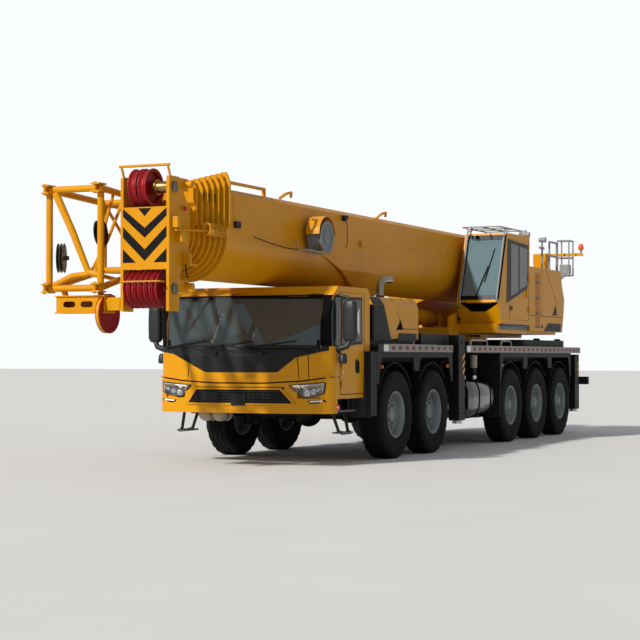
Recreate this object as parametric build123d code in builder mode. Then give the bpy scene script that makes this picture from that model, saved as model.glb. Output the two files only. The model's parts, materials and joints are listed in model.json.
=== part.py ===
"""Five-axle telescopic mobile crane, in millimetres.

+X is forward, +Y is the driver's left and +Z is up. The origin is on the ground under the middle of the overall length.
The carrier is the fixed body. The turntable, boom, lift cylinder, outriggers, doors, steering knuckles and wheels move.
Every sub-part is built at its place on the parked crane and is written to its own STEP file.
"""

import math
import os

from build123d import *

os.makedirs("parts", exist_ok=True)

# ---------------------------------------------------------------- driving dimensions
FIT = 0.3  # gap between faces that run or seat on each other
HALF_WIDTH = 1500  # half of the legal road width

# Wheels and axles
AXLE_X = (2650, 1030, -3000, -4580, -6160)
STEERED_AXLES = 2  # the front pair is steered
TYRE_RADIUS = 670
TYRE_WIDTH = 375
RIM_RADIUS = 318  # bead seat
RIM_FLANGE = 40
RIM_WALL = 18
HUB_RADIUS = 150
SPINDLE_RADIUS = 55
KINGPIN_Y = 1050
KINGPIN_RADIUS = 72
AXLE_TUBE_RADIUS = 88
STRUT_Y = 560
STRUT_RADIUS = 62

# Chassis and deck
FRAME_HALF_WIDTH = 430
FRAME_BOTTOM = 950
FRAME_TOP = 1702
FRAME_FRONT = 4560
FRAME_REAR = -7500
REAR_END = -7790
JAW_Z = 1220
JAW_BORE = 25.5
DECK_TOP = 1742
DECK_PLATE = 40
DECK_EDGE_HEIGHT = 112
DECK_EDGE = 36
SKIRT_THICKNESS = 34
SKIRT_BOTTOM = 470

# Outriggers
OUTRIGGER_X = (-118, -7165)
OUTRIGGER_BOX_LENGTH = 620  # along X
OUTRIGGER_BOX_Z = (1000, 1480)
BEAM_LENGTH_X = 236
BEAM_HEIGHT = 400
BEAM_WALL = 14
JACK_BOX_X = 300
JACK_BOX_Y = 180
JACK_BOX_BOTTOM = 480
JACK_BOX_TOP = (1915, 1600)
JACK_ROD_RADIUS = 70
FLOAT_RADIUS = 175
FLOAT_THICKNESS = 40

# Carrier cab
CAB_REAR = 3500
CAB_SIDE_FRONT = 4860  # where the side meets the rounded front
CAB_NOSE = 5050  # the middle of the front
CAB_HALF_WIDTH = HALF_WIDTH - 110
CAB_FLOOR = 950
CAB_ROOF = 2560
CAB_WALL = 60
CAB_WAIST = 1640  # lower edge of the windows
CAB_HEAD = 2440  # upper edge of the windows
CAB_WINDSCREEN_TOP = 4800  # the windscreen's top edge, in the middle
BUMPER_TOP = 1262
BUMPER_BOTTOM = 745
BUMPER_DEPTH = 330
GLASS = 8

# Engine and hood
HOOD_X = (1370, 3270)  # its rear end stands clear of the lift cylinder's head at every slew angle
HOOD_HALF_WIDTH = HALF_WIDTH - 160
HOOD_TOP = 2460

# Turntable
SLEW_X = -3250
RING_RADIUS = 880
RING_BORE = 640
RING_LOWER_TOP = 1835
RING_TOP = 1930
PLATFORM_THICKNESS = 150
PLATFORM_X = (-6150, -1980)
PLATFORM_HALF_WIDTH = 680
CHEEK_INNER = 592  # inner face of the two upright cheeks
CHEEK_THICKNESS = 40
COVER_X = (-6560, -4230)
COVER_Z = (2040, 3270)
COVER_INNER = 690
COVER_OUTER = HALF_WIDTH - 50

# Operator's cab
OPERATOR_X = (-4200, -2400)
OPERATOR_Y = (668, 1460)
OPERATOR_Z = (2150, 3830)
OPERATOR_RAKE = 330
OPERATOR_WALL = 50

# Boom
BOOM_PIVOT = (-5150, 3300)  # x, z
WINCH = (-6120, 2440)  # x, z
BOOM_TOP = 3820
BOOM_BOTTOM = 2600
BOOM_WIDTH = 1120
BOOM_STEP = 38  # each section is smaller than the one around it by this much on every side
BOOM_WALL = 12
BOOM_TAIL = -5600
BOOM_SECTIONS = 7
COLLAR_X = 6540  # rear face of the base section's collar
COLLAR_PITCH = 85
COLLAR_THICKNESS = 34
COLLAR_PROUD = 42
FIN_PROUD = 85  # how far the upper fins of a collar stand out sideways
FIN_TOP = 4030  # of the base section; each further fin ends lower
FIN_TOP_STEP = 24
FIN_BOTTOM = 3290
PIVOT_RADIUS = 90
REEL = (3850, 3320)  # x, z of the cable reel on the base section's left flank
REEL_INNER = BOOM_WIDTH / 2 + 90  # the face of the boss that carries it
HEAD_X = (7160, 7720)
HEAD_Z = (2140, 3890)
HEAD_HALF_WIDTH = 337
SHEAVE_RADIUS = 262

# Lift cylinder
LIFT_FOOT = (-2900, 2250)  # x, z
LIFT_EYE = (1080, 2430)
LIFT_BARREL_RADIUS = 150
LIFT_BORE = 122
LIFT_ROD_RADIUS = 100
LIFT_EYE_RADIUS = 125
LIFT_EYE_WIDTH = 300


# ---------------------------------------------------------------- shared building steps
def block(x_range, y_range, z_range, mode=Mode.ADD):
    """A box between two values on each axis."""
    low, high = zip(*(sorted(r) for r in (x_range, y_range, z_range)))
    with Locations(tuple((a + b) / 2 for a, b in zip(low, high))):
        Box(*[b - a for a, b in zip(low, high)], mode=mode)


def side_profile(points, y_range, mode=Mode.ADD):
    """A plate with an outline of (x, z) points, between two values of y."""
    low, high = sorted(y_range)
    with BuildSketch(Plane.XZ.offset(-high)) as outline:
        with BuildLine():
            Polyline(*points, close=True)
        make_face()
    extrude(outline.sketch, amount=high - low, mode=mode)


def cross_profile(points, x_range, mode=Mode.ADD):
    """A bar with an outline of (y, z) points, between two values of x."""
    low, high = sorted(x_range)
    with BuildSketch(Plane.YZ.offset(low)) as outline:
        with BuildLine():
            Polyline(*points, close=True)
        make_face()
    extrude(outline.sketch, amount=high - low, mode=mode)


def rod(start, end, radius, mode=Mode.ADD):
    """A round bar between two points."""
    start, end = Vector(start), Vector(end)
    with BuildSketch(Plane(origin=start, z_dir=end - start)) as outline:
        Circle(radius)
    extrude(outline.sketch, amount=(end - start).length, mode=mode)


def save(builder, name):
    """Writes a finished sub-part to its own file."""
    builder.part.label = name
    export_step(builder.part, f"parts/{name}.step")


SIDES = {"left": 1, "right": -1}


HINGE_STAND_OFF = 14
HINGE_PIN = 6
HINGE_KNUCKLE = 12
HINGE_LENGTH = 80


def door_hinge(x, face, side, z, reach, moving):
    """One half of a door hinge outside a wall at y = face. reach is the way along X to the half's panel."""
    centre = face + side * HINGE_STAND_OFF
    if moving:
        spans = [(z, z + HINGE_LENGTH)]
    else:
        spans = [(z - 30, z - FIT), (z + HINGE_LENGTH + FIT, z + HINGE_LENGTH + 30)]
        rod((x, centre, z - 30), (x, centre, z + HINGE_LENGTH + 30), HINGE_PIN)
    for low, high in spans:
        block((x + reach * 6, x + reach * 45), (face, face + side * 8), (low, high))
        rod((x, centre, low), (x, centre, high), HINGE_KNUCKLE)
        if moving:
            rod((x, centre, low), (x, centre, high), HINGE_PIN + FIT, mode=Mode.SUBTRACT)


# ---------------------------------------------------------------- wheels
WHEEL_Y = HALF_WIDTH - 5 - TYRE_WIDTH / 2  # middle of the tread
RIM_HALF_WIDTH = 152


def wheel(axle_x, side, planetary):
    """A tyre and its rim as two solids. planetary adds the reduction hub of a driven rear axle."""
    plane = Plane((axle_x, 0, TYRE_RADIUS), x_dir=(0, side, 0), z_dir=(side, 0, 0))
    turn = Axis((axle_x, 0, TYRE_RADIUS), (0, 1, 0))
    half = TYRE_WIDTH / 2
    flange = RIM_RADIUS + RIM_FLANGE
    tread = half - 26
    with BuildPart() as tyre:
        with BuildSketch(plane) as section:
            with BuildLine():
                outside = [
                    (WHEEL_Y + RIM_HALF_WIDTH, RIM_RADIUS),
                    (WHEEL_Y + RIM_HALF_WIDTH, flange),
                    (WHEEL_Y + half, (flange + TYRE_RADIUS) / 2 - 20),
                    (WHEEL_Y + tread, TYRE_RADIUS - 22),
                    (WHEEL_Y + tread - 40, TYRE_RADIUS),
                ]
                ribs = []
                for groove in (90, 0, -90):
                    ribs += [
                        (WHEEL_Y + groove + 9, TYRE_RADIUS),
                        (WHEEL_Y + groove + 6, TYRE_RADIUS - 18),
                        (WHEEL_Y + groove - 6, TYRE_RADIUS - 18),
                        (WHEEL_Y + groove - 9, TYRE_RADIUS),
                    ]
                inside = [(2 * WHEEL_Y - y, r) for y, r in reversed(outside)]
                Polyline(*outside, *ribs, *inside, close=True)
            make_face()
        revolve(axis=turn)
    disc = WHEEL_Y + (20 if planetary else -10)
    nose = disc + (115 if planetary else 52)
    seat = RIM_RADIUS - FIT
    lip = WHEEL_Y + RIM_HALF_WIDTH + FIT
    with BuildPart() as rim:
        with BuildSketch(plane):
            with BuildLine():
                Polyline(
                    (lip + 12, flange),
                    (lip, flange),
                    (lip, seat),
                    (2 * WHEEL_Y - lip, seat),
                    (2 * WHEEL_Y - lip, flange),
                    (2 * WHEEL_Y - lip - 12, flange),
                    (2 * WHEEL_Y - lip - 12, seat - RIM_WALL),
                    (disc - 10, seat - RIM_WALL),
                    (disc - 40, HUB_RADIUS + 40),
                    (disc - 40, HUB_RADIUS),
                    (disc - 90, HUB_RADIUS),
                    (disc - 90, SPINDLE_RADIUS + FIT),
                    (disc, SPINDLE_RADIUS + FIT),
                    (disc, 0),
                    (nose, 0),
                    (nose, HUB_RADIUS * 0.55),
                    (nose - 30, HUB_RADIUS * 0.8),
                    (disc - 14, HUB_RADIUS),
                    (disc - 14, HUB_RADIUS + 40),
                    (disc + 26, seat - RIM_WALL),
                    (lip + 12, seat - RIM_WALL),
                    close=True,
                )
            make_face()
        revolve(axis=turn)
    return Compound(children=[tyre.part, rim.part])


def spindle_end(planetary):
    """How far out the spindle reaches inside the hub."""
    return WHEEL_Y + (20 if planetary else -10) - FIT


for number, axle_x in enumerate(AXLE_X, start=1):
    for side_name, side in SIDES.items():
        assembly = wheel(axle_x, side, planetary=number > STEERED_AXLES)
        assembly.label = f"wheel_{number}_{side_name}"
        export_step(assembly, f"parts/{assembly.label}.step")


# ---------------------------------------------------------------- steering knuckles
KNUCKLE_HALF_HEIGHT = 150
for number, axle_x in enumerate(AXLE_X[:STEERED_AXLES], start=1):
    for side_name, side in SIDES.items():
        with BuildPart() as knuckle:
            rod(
                (axle_x, side * KINGPIN_Y, TYRE_RADIUS - KNUCKLE_HALF_HEIGHT),
                (axle_x, side * KINGPIN_Y, TYRE_RADIUS + KNUCKLE_HALF_HEIGHT),
                KINGPIN_RADIUS,
            )
            rod(
                (axle_x, side * KINGPIN_Y, TYRE_RADIUS),
                (axle_x, side * spindle_end(False), TYRE_RADIUS),
                SPINDLE_RADIUS,
            )
            # steering arm behind the kingpin, for the track rod
            side_profile(
                [
                    (axle_x, TYRE_RADIUS - 60),
                    (axle_x - 230, TYRE_RADIUS - 45),
                    (axle_x - 230, TYRE_RADIUS - 5),
                    (axle_x, TYRE_RADIUS + 20),
                ],
                (side * (KINGPIN_Y - 20), side * (KINGPIN_Y + 20)),
            )
        save(knuckle, f"knuckle_{number}_{side_name}")


# ---------------------------------------------------------------- axles with their suspension struts
STRUT_BRACKET_Z = 1330
with BuildPart() as axles:
    for number, axle_x in enumerate(AXLE_X, start=1):
        steered = number <= STEERED_AXLES
        reach = KINGPIN_Y - KINGPIN_RADIUS - 40 if steered else WHEEL_Y - 110
        rod((axle_x, -reach, TYRE_RADIUS), (axle_x, reach, TYRE_RADIUS), AXLE_TUBE_RADIUS)
        with Locations((axle_x, 0, TYRE_RADIUS)):
            Sphere(210)
        for side in SIDES.values():
            if steered:
                web = (side * (reach - 40), side * (reach + 30))
                ear_top = TYRE_RADIUS + KNUCKLE_HALF_HEIGHT + FIT
                ear_low = TYRE_RADIUS - KNUCKLE_HALF_HEIGHT - FIT
                block((axle_x - 70, axle_x + 70), web, (ear_low - 35, ear_top + 35))
                for z_range in ((ear_top, ear_top + 35), (ear_low - 35, ear_low)):
                    block(
                        (axle_x - 70, axle_x + 70),
                        (side * reach, side * (KINGPIN_Y + 60)),
                        z_range,
                    )
            else:
                rod(
                    (axle_x, side * reach, TYRE_RADIUS),
                    (axle_x, side * spindle_end(True), TYRE_RADIUS),
                    SPINDLE_RADIUS,
                )
            rod(
                (axle_x, side * STRUT_Y, TYRE_RADIUS),
                (axle_x, side * STRUT_Y, STRUT_BRACKET_Z),
                STRUT_RADIUS,
            )
save(axles, "axle_beams")


# ---------------------------------------------------------------- chassis frame
FRAME_NECK_X = 3150  # ahead of this the frame drops under the cab
FRAME_NECK_TOP = CAB_FLOOR
FRAME_NECK_BOTTOM = 760
BOX_HALF_WIDTH = HALF_WIDTH - JACK_BOX_Y - 30
TRAY_X = (-7450, -4350)
TRAY_HALF_WIDTH = BOX_HALF_WIDTH - 50
TRAY_HEIGHT = 138
TRAY_CONES = (  # x, y, height
    (-5800, 1100, 38),
    (-5800, -1100, 38),
    (-7230, 1100, 38),
    (-7230, -1100, 38),
)
REAR_BOX_FACE = OUTRIGGER_X[1] - OUTRIGGER_BOX_LENGTH / 2
with BuildPart() as chassis:
    side_profile(
        [
            (FRAME_FRONT, FRAME_NECK_BOTTOM),
            (FRAME_FRONT, FRAME_NECK_TOP),
            (FRAME_NECK_X, FRAME_NECK_TOP),
            (FRAME_NECK_X - 150, FRAME_TOP - 300),
            (HOOD_X[1] - 1500, FRAME_TOP),
            (FRAME_REAR, FRAME_TOP),
            (FRAME_REAR, FRAME_BOTTOM + 100),
            (FRAME_REAR + 500, FRAME_BOTTOM),
            (FRAME_NECK_X - 100, FRAME_BOTTOM),
            (FRAME_NECK_X, FRAME_NECK_BOTTOM),
        ],
        (-FRAME_HALF_WIDTH, FRAME_HALF_WIDTH),
    )
    for axle_x in AXLE_X:
        for side in SIDES.values():
            block(
                (axle_x - 110, axle_x + 110),
                (side * (FRAME_HALF_WIDTH - 5), side * (STRUT_Y + STRUT_RADIUS + 15)),
                (STRUT_BRACKET_Z, STRUT_BRACKET_Z + 90),
            )
    for box_x in OUTRIGGER_X:
        half = OUTRIGGER_BOX_LENGTH / 2
        block((box_x - half, box_x + half), (-BOX_HALF_WIDTH, BOX_HALF_WIDTH), OUTRIGGER_BOX_Z)
        for side in SIDES.values():
            # a through channel for each sliding beam
            beam_x = box_x - side * (BEAM_LENGTH_X / 2 + 20)
            middle = sum(OUTRIGGER_BOX_Z) / 2
            block(
                (beam_x - BEAM_LENGTH_X / 2 - FIT, beam_x + BEAM_LENGTH_X / 2 + FIT),
                (-BOX_HALF_WIDTH - 1, BOX_HALF_WIDTH + 1),
                (middle - BEAM_HEIGHT / 2 - FIT, middle + BEAM_HEIGHT / 2 + FIT),
                mode=Mode.SUBTRACT,
            )
    # tray at the rear that the counterweight plate is set down on, with its centring cones
    with BuildSketch(Plane.XY.offset(DECK_TOP)):
        with Locations((sum(TRAY_X) / 2, 0)):
            RectangleRounded(TRAY_X[1] - TRAY_X[0], 2 * TRAY_HALF_WIDTH, 260)
    extrude(amount=TRAY_HEIGHT)
    block(TRAY_X, (-FRAME_HALF_WIDTH, FRAME_HALF_WIDTH), (FRAME_TOP - 5, DECK_TOP + 5))
    # rear bumper with its brackets, and the towing jaw
    block((REAR_END, REAR_END + 120), (-1400, 1400), (760, 900))
    for side in SIDES.values():
        block((REAR_END + 40, REAR_BOX_FACE + 10), (side * 230, side * 400), (800, 1150))
    jaw = (REAR_END + 70, REAR_BOX_FACE + 10)
    block(jaw, (-75, 75), (JAW_Z - 70, JAW_Z + 70))
    block((REAR_END, REAR_BOX_FACE - 50), (-80, 80), (JAW_Z - 30, JAW_Z + 30), mode=Mode.SUBTRACT)
    jaw_x = REAR_END + 130
    rod((jaw_x, 0, JAW_Z - 80), (jaw_x, 0, JAW_Z + 80), JAW_BORE, mode=Mode.SUBTRACT)
    # lower race of the slewing ring
    with BuildSketch(Plane.XY.offset(FRAME_TOP - 5)):
        with Locations((SLEW_X, 0)):
            Circle(RING_RADIUS - 70)
            Circle(RING_BORE, mode=Mode.SUBTRACT)
    extrude(amount=RING_LOWER_TOP - FRAME_TOP + 5)
    for cone_x, cone_y, height in TRAY_CONES:
        with Locations((cone_x, cone_y, DECK_TOP + TRAY_HEIGHT + height / 2)):
            Cone(78, 78 - 0.7 * height, height)
save(chassis, "chassis_frame")


# ---------------------------------------------------------------- outriggers
for box_x, station, jack_top in zip(OUTRIGGER_X, ("front", "rear"), JACK_BOX_TOP):
    for side_name, side in SIDES.items():
        beam_x = box_x - side * (BEAM_LENGTH_X / 2 + 20)
        middle = sum(OUTRIGGER_BOX_Z) / 2
        inner, outer = -side * 1180, side * (HALF_WIDTH - JACK_BOX_Y)
        jack_y = (side * (HALF_WIDTH - JACK_BOX_Y), side * HALF_WIDTH)
        centre_y = sum(jack_y) / 2
        with BuildPart() as beam:
            half_x, half_z = BEAM_LENGTH_X / 2, BEAM_HEIGHT / 2
            block((beam_x - half_x, beam_x + half_x), (inner, outer), (middle - half_z, middle + half_z))
            block(
                (beam_x - half_x + BEAM_WALL, beam_x + half_x - BEAM_WALL),
                (inner, outer),
                (middle - half_z + BEAM_WALL, middle + half_z - BEAM_WALL),
                mode=Mode.SUBTRACT,
            )
            block(
                (beam_x - JACK_BOX_X / 2, beam_x + JACK_BOX_X / 2),
                jack_y,
                (JACK_BOX_BOTTOM, jack_top),
            )
            rod(
                (beam_x, centre_y, JACK_BOX_BOTTOM),
                (beam_x, centre_y, jack_top - 100),
                JACK_ROD_RADIUS + FIT,
                mode=Mode.SUBTRACT,
            )
        save(beam, f"outrigger_{station}_{side_name}")
        with BuildPart() as jack:
            rod(
                (beam_x, centre_y, JACK_BOX_BOTTOM - 10),
                (beam_x, centre_y, jack_top - 110),
                JACK_ROD_RADIUS,
            )
            with Locations((beam_x, centre_y, JACK_BOX_BOTTOM - 10 - FLOAT_THICKNESS / 2)):
                Cylinder(FLOAT_RADIUS - 90, FLOAT_THICKNESS)
        save(jack, f"jack_{station}_{side_name}")


# ---------------------------------------------------------------- carrier cab
DOOR_X = (3720, 4565)
DOOR_Z = (1010, 2475)
DOOR_GAP = 5
DOOR_WINDOW_INSET = 85
DOOR_HINGE_Z = (1120, 1400)
CORNER_X = 4700  # the plan's corner rounding starts here


def cab_plan(inset):
    """The cab's outline seen from above: straight sides, a rounded corner and a slightly bowed front."""
    half = CAB_HALF_WIDTH - inset
    with BuildLine() as outline:
        ThreePointArc((CORNER_X, -half), (4880 - inset, -half + 60), (4950 - inset, -half + 230))
        ThreePointArc((4950 - inset, -half + 230), (CAB_NOSE - inset, 0), (4950 - inset, half - 230))
        ThreePointArc((4950 - inset, half - 230), (4880 - inset, half - 60), (CORNER_X, half))
        Polyline((CORNER_X, half), (CAB_REAR + inset, half), (CAB_REAR + inset, -half), (CORNER_X, -half))
    make_face(outline.edges())


def cab_side(inset):
    """The (x, z) outline of the cab's side, with the windscreen's rake."""
    return [
        (CAB_REAR + inset, CAB_FLOOR + inset),
        (CAB_REAR + inset, CAB_ROOF - 60 - inset),
        (CAB_REAR + 90 + inset, CAB_ROOF - inset),
        (CAB_WINDSCREEN_TOP - 130 - inset, CAB_ROOF - inset),
        (CAB_WINDSCREEN_TOP - inset, CAB_HEAD - inset),
        (CAB_NOSE + 20 - inset, CAB_WAIST),
        (CAB_NOSE + 20 - inset, CAB_FLOOR + inset),
    ]


def cab_body(inset, mode=Mode.ADD):
    """The whole cab as a solid, taken in by an inset on every side."""
    with BuildSketch(Plane.XY.offset(CAB_FLOOR + inset)) as plan:
        cab_plan(inset)
    with BuildPart(mode=Mode.PRIVATE) as body:
        extrude(plan.sketch, amount=CAB_ROOF - CAB_FLOOR - 2 * inset)
        side_profile(cab_side(inset), (-HALF_WIDTH, HALF_WIDTH), mode=Mode.INTERSECT)
    add(body.part, mode=mode)


WINDSCREEN = ((CAB_SIDE_FRONT - 200, CAB_NOSE + 50), (-1235, 1235), (CAB_WAIST + 20, CAB_HEAD))
with BuildPart() as carrier_cab:
    cab_body(0)
    cab_body(CAB_WALL, mode=Mode.SUBTRACT)
    # windscreen, door openings and the rear window
    block(*WINDSCREEN, mode=Mode.SUBTRACT)
    block(DOOR_X, (-HALF_WIDTH, HALF_WIDTH), DOOR_Z, mode=Mode.SUBTRACT)
    block((CAB_REAR - 10, CAB_REAR + CAB_WALL + 10), (-700, 700), (1900, 2350), mode=Mode.SUBTRACT)
    # the nose below the seam belongs to the bumper
    block((CORNER_X, CAB_NOSE + 50), (-HALF_WIDTH, HALF_WIDTH), (CAB_FLOOR - 1, BUMPER_TOP), mode=Mode.SUBTRACT)
    for side in SIDES.values():
        for hinge_z in DOOR_HINGE_Z:
            door_hinge(DOOR_X[1] - 3, side * CAB_HALF_WIDTH, side, hinge_z, 1, moving=False)
save(carrier_cab, "carrier_cab")

with BuildPart() as cab_glass:
    cab_body(20)
    cab_body(20 + GLASS, mode=Mode.SUBTRACT)
    block(*WINDSCREEN, mode=Mode.INTERSECT)
    block((CAB_REAR + 20, CAB_REAR + 20 + GLASS), (-700, 700), (1900, 2350))
save(cab_glass, "cab_glass")

with BuildPart() as bumper:
    with BuildSketch(Plane.XY.offset(BUMPER_BOTTOM)) as plan:
        cab_plan(-8)
        with Locations((0, 0)):
            Rectangle(2 * (CORNER_X + FIT), 4000, mode=Mode.SUBTRACT)
    extrude(plan.sketch, amount=BUMPER_TOP - BUMPER_BOTTOM - FIT)
    for side in SIDES.values():
        block((CAB_NOSE - 130, CAB_NOSE + 50), (side * 900, side * 1240), (960, 1130), mode=Mode.SUBTRACT)
    cross_profile(
        [(-720, 1120), (720, 1120), (600, 880), (-600, 880)],
        (CAB_NOSE - 90, CAB_NOSE + 50),
        mode=Mode.SUBTRACT,
    )
save(bumper, "front_bumper")

for side_name, side in SIDES.items():
    with BuildPart() as door:
        wall = (side * (CAB_HALF_WIDTH - CAB_WALL), side * CAB_HALF_WIDTH)
        x_range = (DOOR_X[0] + DOOR_GAP, DOOR_X[1] - DOOR_GAP)
        z_range = (DOOR_Z[0] + DOOR_GAP, DOOR_Z[1] - DOOR_GAP)
        block(x_range, wall, z_range)
        block(
            (x_range[0] + DOOR_WINDOW_INSET, x_range[1] - DOOR_WINDOW_INSET),
            wall,
            (1730, z_range[1] - DOOR_WINDOW_INSET),
            mode=Mode.SUBTRACT,
        )
        block(
            (x_range[0] + DOOR_WINDOW_INSET, x_range[1] - DOOR_WINDOW_INSET),
            (side * (CAB_HALF_WIDTH - 25), side * (CAB_HALF_WIDTH - 25 - GLASS)),
            (1730, z_range[1] - DOOR_WINDOW_INSET),
        )
        for hinge_z in DOOR_HINGE_Z:
            door_hinge(DOOR_X[1] - 3, side * CAB_HALF_WIDTH, side, hinge_z, -1, moving=True)
    save(door, f"cab_door_{side_name}")

with BuildPart() as interior:
    floor = CAB_FLOOR + CAB_WALL
    block((CAB_REAR + CAB_WALL + 20, CORNER_X - 30), (-1290, 1290), (floor, floor + 60))
    for seat_y in (-800, 800):
        block((3700, 4150), (seat_y - 240, seat_y + 240), (floor + 60, floor + 420))
        block((3640, 3760), (seat_y - 240, seat_y + 240), (floor + 400, floor + 1050))
    block((4320, 4560), (-1280, 1280), (1300, 1600))
    block((4380, 4500), (-1000, 1000), (floor + 60, 1310))
    rod((4330, 800, 1560), (4200, 800, 1680), 30)
    with Locations(Location((4190, 800, 1690), (0, -45, 0))):
        Cylinder(230, 30)
save(interior, "cab_interior")

with BuildPart() as mirrors:
    for side in SIDES.values():
        foot = side * (CAB_HALF_WIDTH + FIT)
        block((4640, 4696), (foot, foot + side * 20), (1600, 1680))
        rod((4668, foot + side * 19, 1640), (4640, side * 1600, 1680), 20)
        with BuildSketch(Plane.XY.offset(1690)) as housing:
            with Locations((4640, side * 1600)):
                RectangleRounded(110, 190, 30)
        extrude(housing.sketch, amount=740)
        rod((4640, side * 1600, 1670), (4640, side * 1600, 1700), 20)
save(mirrors, "cab_mirrors")


# ---------------------------------------------------------------- engine, hood and exhaust
HOOD_BOTTOM = 1830
HOOD_SHEET = 12
ENGINE_X = (1500, 2650)
with BuildPart() as engine:
    block(ENGINE_X, (-400, 400), (FRAME_TOP, HOOD_TOP - 160))
save(engine, "engine_block")


def hood_section(inset):
    """The hood's (y, z) outline, open below."""
    half = HOOD_HALF_WIDTH - inset
    low = DECK_TOP if inset == 0 else DECK_TOP - 10
    return [
        (-half + 60, low),
        (-half + 60, HOOD_BOTTOM),
        (-half, HOOD_BOTTOM + inset),
        (-half, HOOD_TOP - 120 - inset),
        (-half + 60, HOOD_TOP - inset),
        (half - 60, HOOD_TOP - inset),
        (half, HOOD_TOP - 120 - inset),
        (half, HOOD_BOTTOM + inset),
        (half - 60, HOOD_BOTTOM),
        (half - 60, low),
    ]


with BuildPart() as hood:
    cross_profile(hood_section(0), HOOD_X)
    cross_profile(
        hood_section(HOOD_SHEET), (HOOD_X[0] + HOOD_SHEET, HOOD_X[1] - HOOD_SHEET), mode=Mode.SUBTRACT
    )
save(hood, "engine_hood")

EXHAUST = (2150, 1000)
with BuildPart() as exhaust:
    rod((EXHAUST[0], EXHAUST[1], HOOD_TOP), (EXHAUST[0], EXHAUST[1], HOOD_TOP + 230), 62)
    rod((EXHAUST[0], EXHAUST[1], HOOD_TOP + 215), (EXHAUST[0] - 170, EXHAUST[1], HOOD_TOP + 325), 62)
save(exhaust, "exhaust_stack")


# ---------------------------------------------------------------- decks, skirts, tank, steps
DECK_X = (-7540, 3400)
POST_RECESS_X = (-470, 180)  # the deck stands back here for the front outriggers
POST_RECESS_Y = BOX_HALF_WIDTH + 10
TOOL_BOX_X = (-340, 990)
with BuildPart() as deck:
    block(DECK_X, (-HALF_WIDTH, HALF_WIDTH), (DECK_TOP - DECK_PLATE, DECK_TOP))
    for side in SIDES.values():
        block(
            DECK_X,
            (side * (HALF_WIDTH - DECK_EDGE), side * HALF_WIDTH),
            (DECK_TOP - DECK_EDGE_HEIGHT, DECK_TOP),
        )
        block(
            POST_RECESS_X,
            (side * POST_RECESS_Y, side * (HALF_WIDTH + 1)),
            (DECK_TOP - 200, DECK_TOP + 1),
            mode=Mode.SUBTRACT,
        )
    # room for the slewing ring, the engine and the seat of the counterweight
    with Locations((SLEW_X, 0, DECK_TOP)):
        Cylinder(RING_RADIUS - 70 + FIT, 200, mode=Mode.SUBTRACT)
    for x_range in (ENGINE_X, TRAY_X):
        block(x_range, (-FRAME_HALF_WIDTH, FRAME_HALF_WIDTH), (DECK_TOP - 60, DECK_TOP + 10), mode=Mode.SUBTRACT)
    # tool box behind the engine
    block(TOOL_BOX_X, (-1250, 1250), (DECK_TOP, DECK_TOP + 185))
save(deck, "deck_plates")

SKIRT_LIP = 1540  # underside of the skirt over a wheel
TAB_BOTTOM = 1330
SKIRT_END_BOTTOM = 1150


def skirt_outline(x_front, x_rear, axles):
    """A skirt's (x, z) outline: flat over the wheels, a tab between each two, a leg at both ends."""
    top = DECK_TOP - DECK_EDGE_HEIGHT
    points = [(x_front, top), (x_front, SKIRT_END_BOTTOM), (x_front - 60, SKIRT_END_BOTTOM)]
    points.append((x_front - 190, SKIRT_LIP))
    for ahead, behind in zip(axles, axles[1:]):
        middle = (ahead + behind) / 2
        points += [(middle + 145, SKIRT_LIP), (middle + 108, TAB_BOTTOM)]
        points += [(middle - 108, TAB_BOTTOM), (middle - 145, SKIRT_LIP)]
    points.append((x_rear + 190, SKIRT_LIP))
    return points + [(x_rear + 60, SKIRT_END_BOTTOM), (x_rear, SKIRT_END_BOTTOM), (x_rear, top)]


with BuildPart() as skirts:
    for side in SIDES.values():
        y_range = (side * (HALF_WIDTH - SKIRT_THICKNESS), side * HALF_WIDTH)
        side_profile(skirt_outline(3480, 200, AXLE_X[:2]), y_range)
        side_profile(skirt_outline(-2296, -6850, AXLE_X[2:]), y_range)
        # mudguard behind the cab, and the one between the tank and the third wheel
        block((3490, 3720), (side * (CAB_HALF_WIDTH + FIT), side * HALF_WIDTH), (680, 1629))
        block((-2320, -2296), (side * 900, side * HALF_WIDTH), (SKIRT_BOTTOM, 1600))
save(skirts, "side_skirts")

TANK_X = (-2290, -950)
with BuildPart() as tank:
    for side in SIDES.values():
        with BuildSketch(Plane.YZ.offset(TANK_X[0])) as section:
            with Locations((side * 1130, 830)):
                RectangleRounded(640, 720, 110)
        extrude(section.sketch, amount=TANK_X[1] - TANK_X[0])
        block((TANK_X[0] + 300, TANK_X[1] - 300), (side * FRAME_HALF_WIDTH, side * 820), (960, 1100))
save(tank, "side_tanks")

with BuildPart() as steps:
    for side in SIDES.values():
        block((4060, 4360), (side * 1180, side * 1385), (440, 470))
        block((4060, 4360), (side * 1220, side * 1385), (690, 715))
        for step_x in (4060, 4330):
            block((step_x, step_x + 30), (side * 1180, side * 1385), (445, CAB_FLOOR))
save(steps, "cab_steps")


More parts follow.
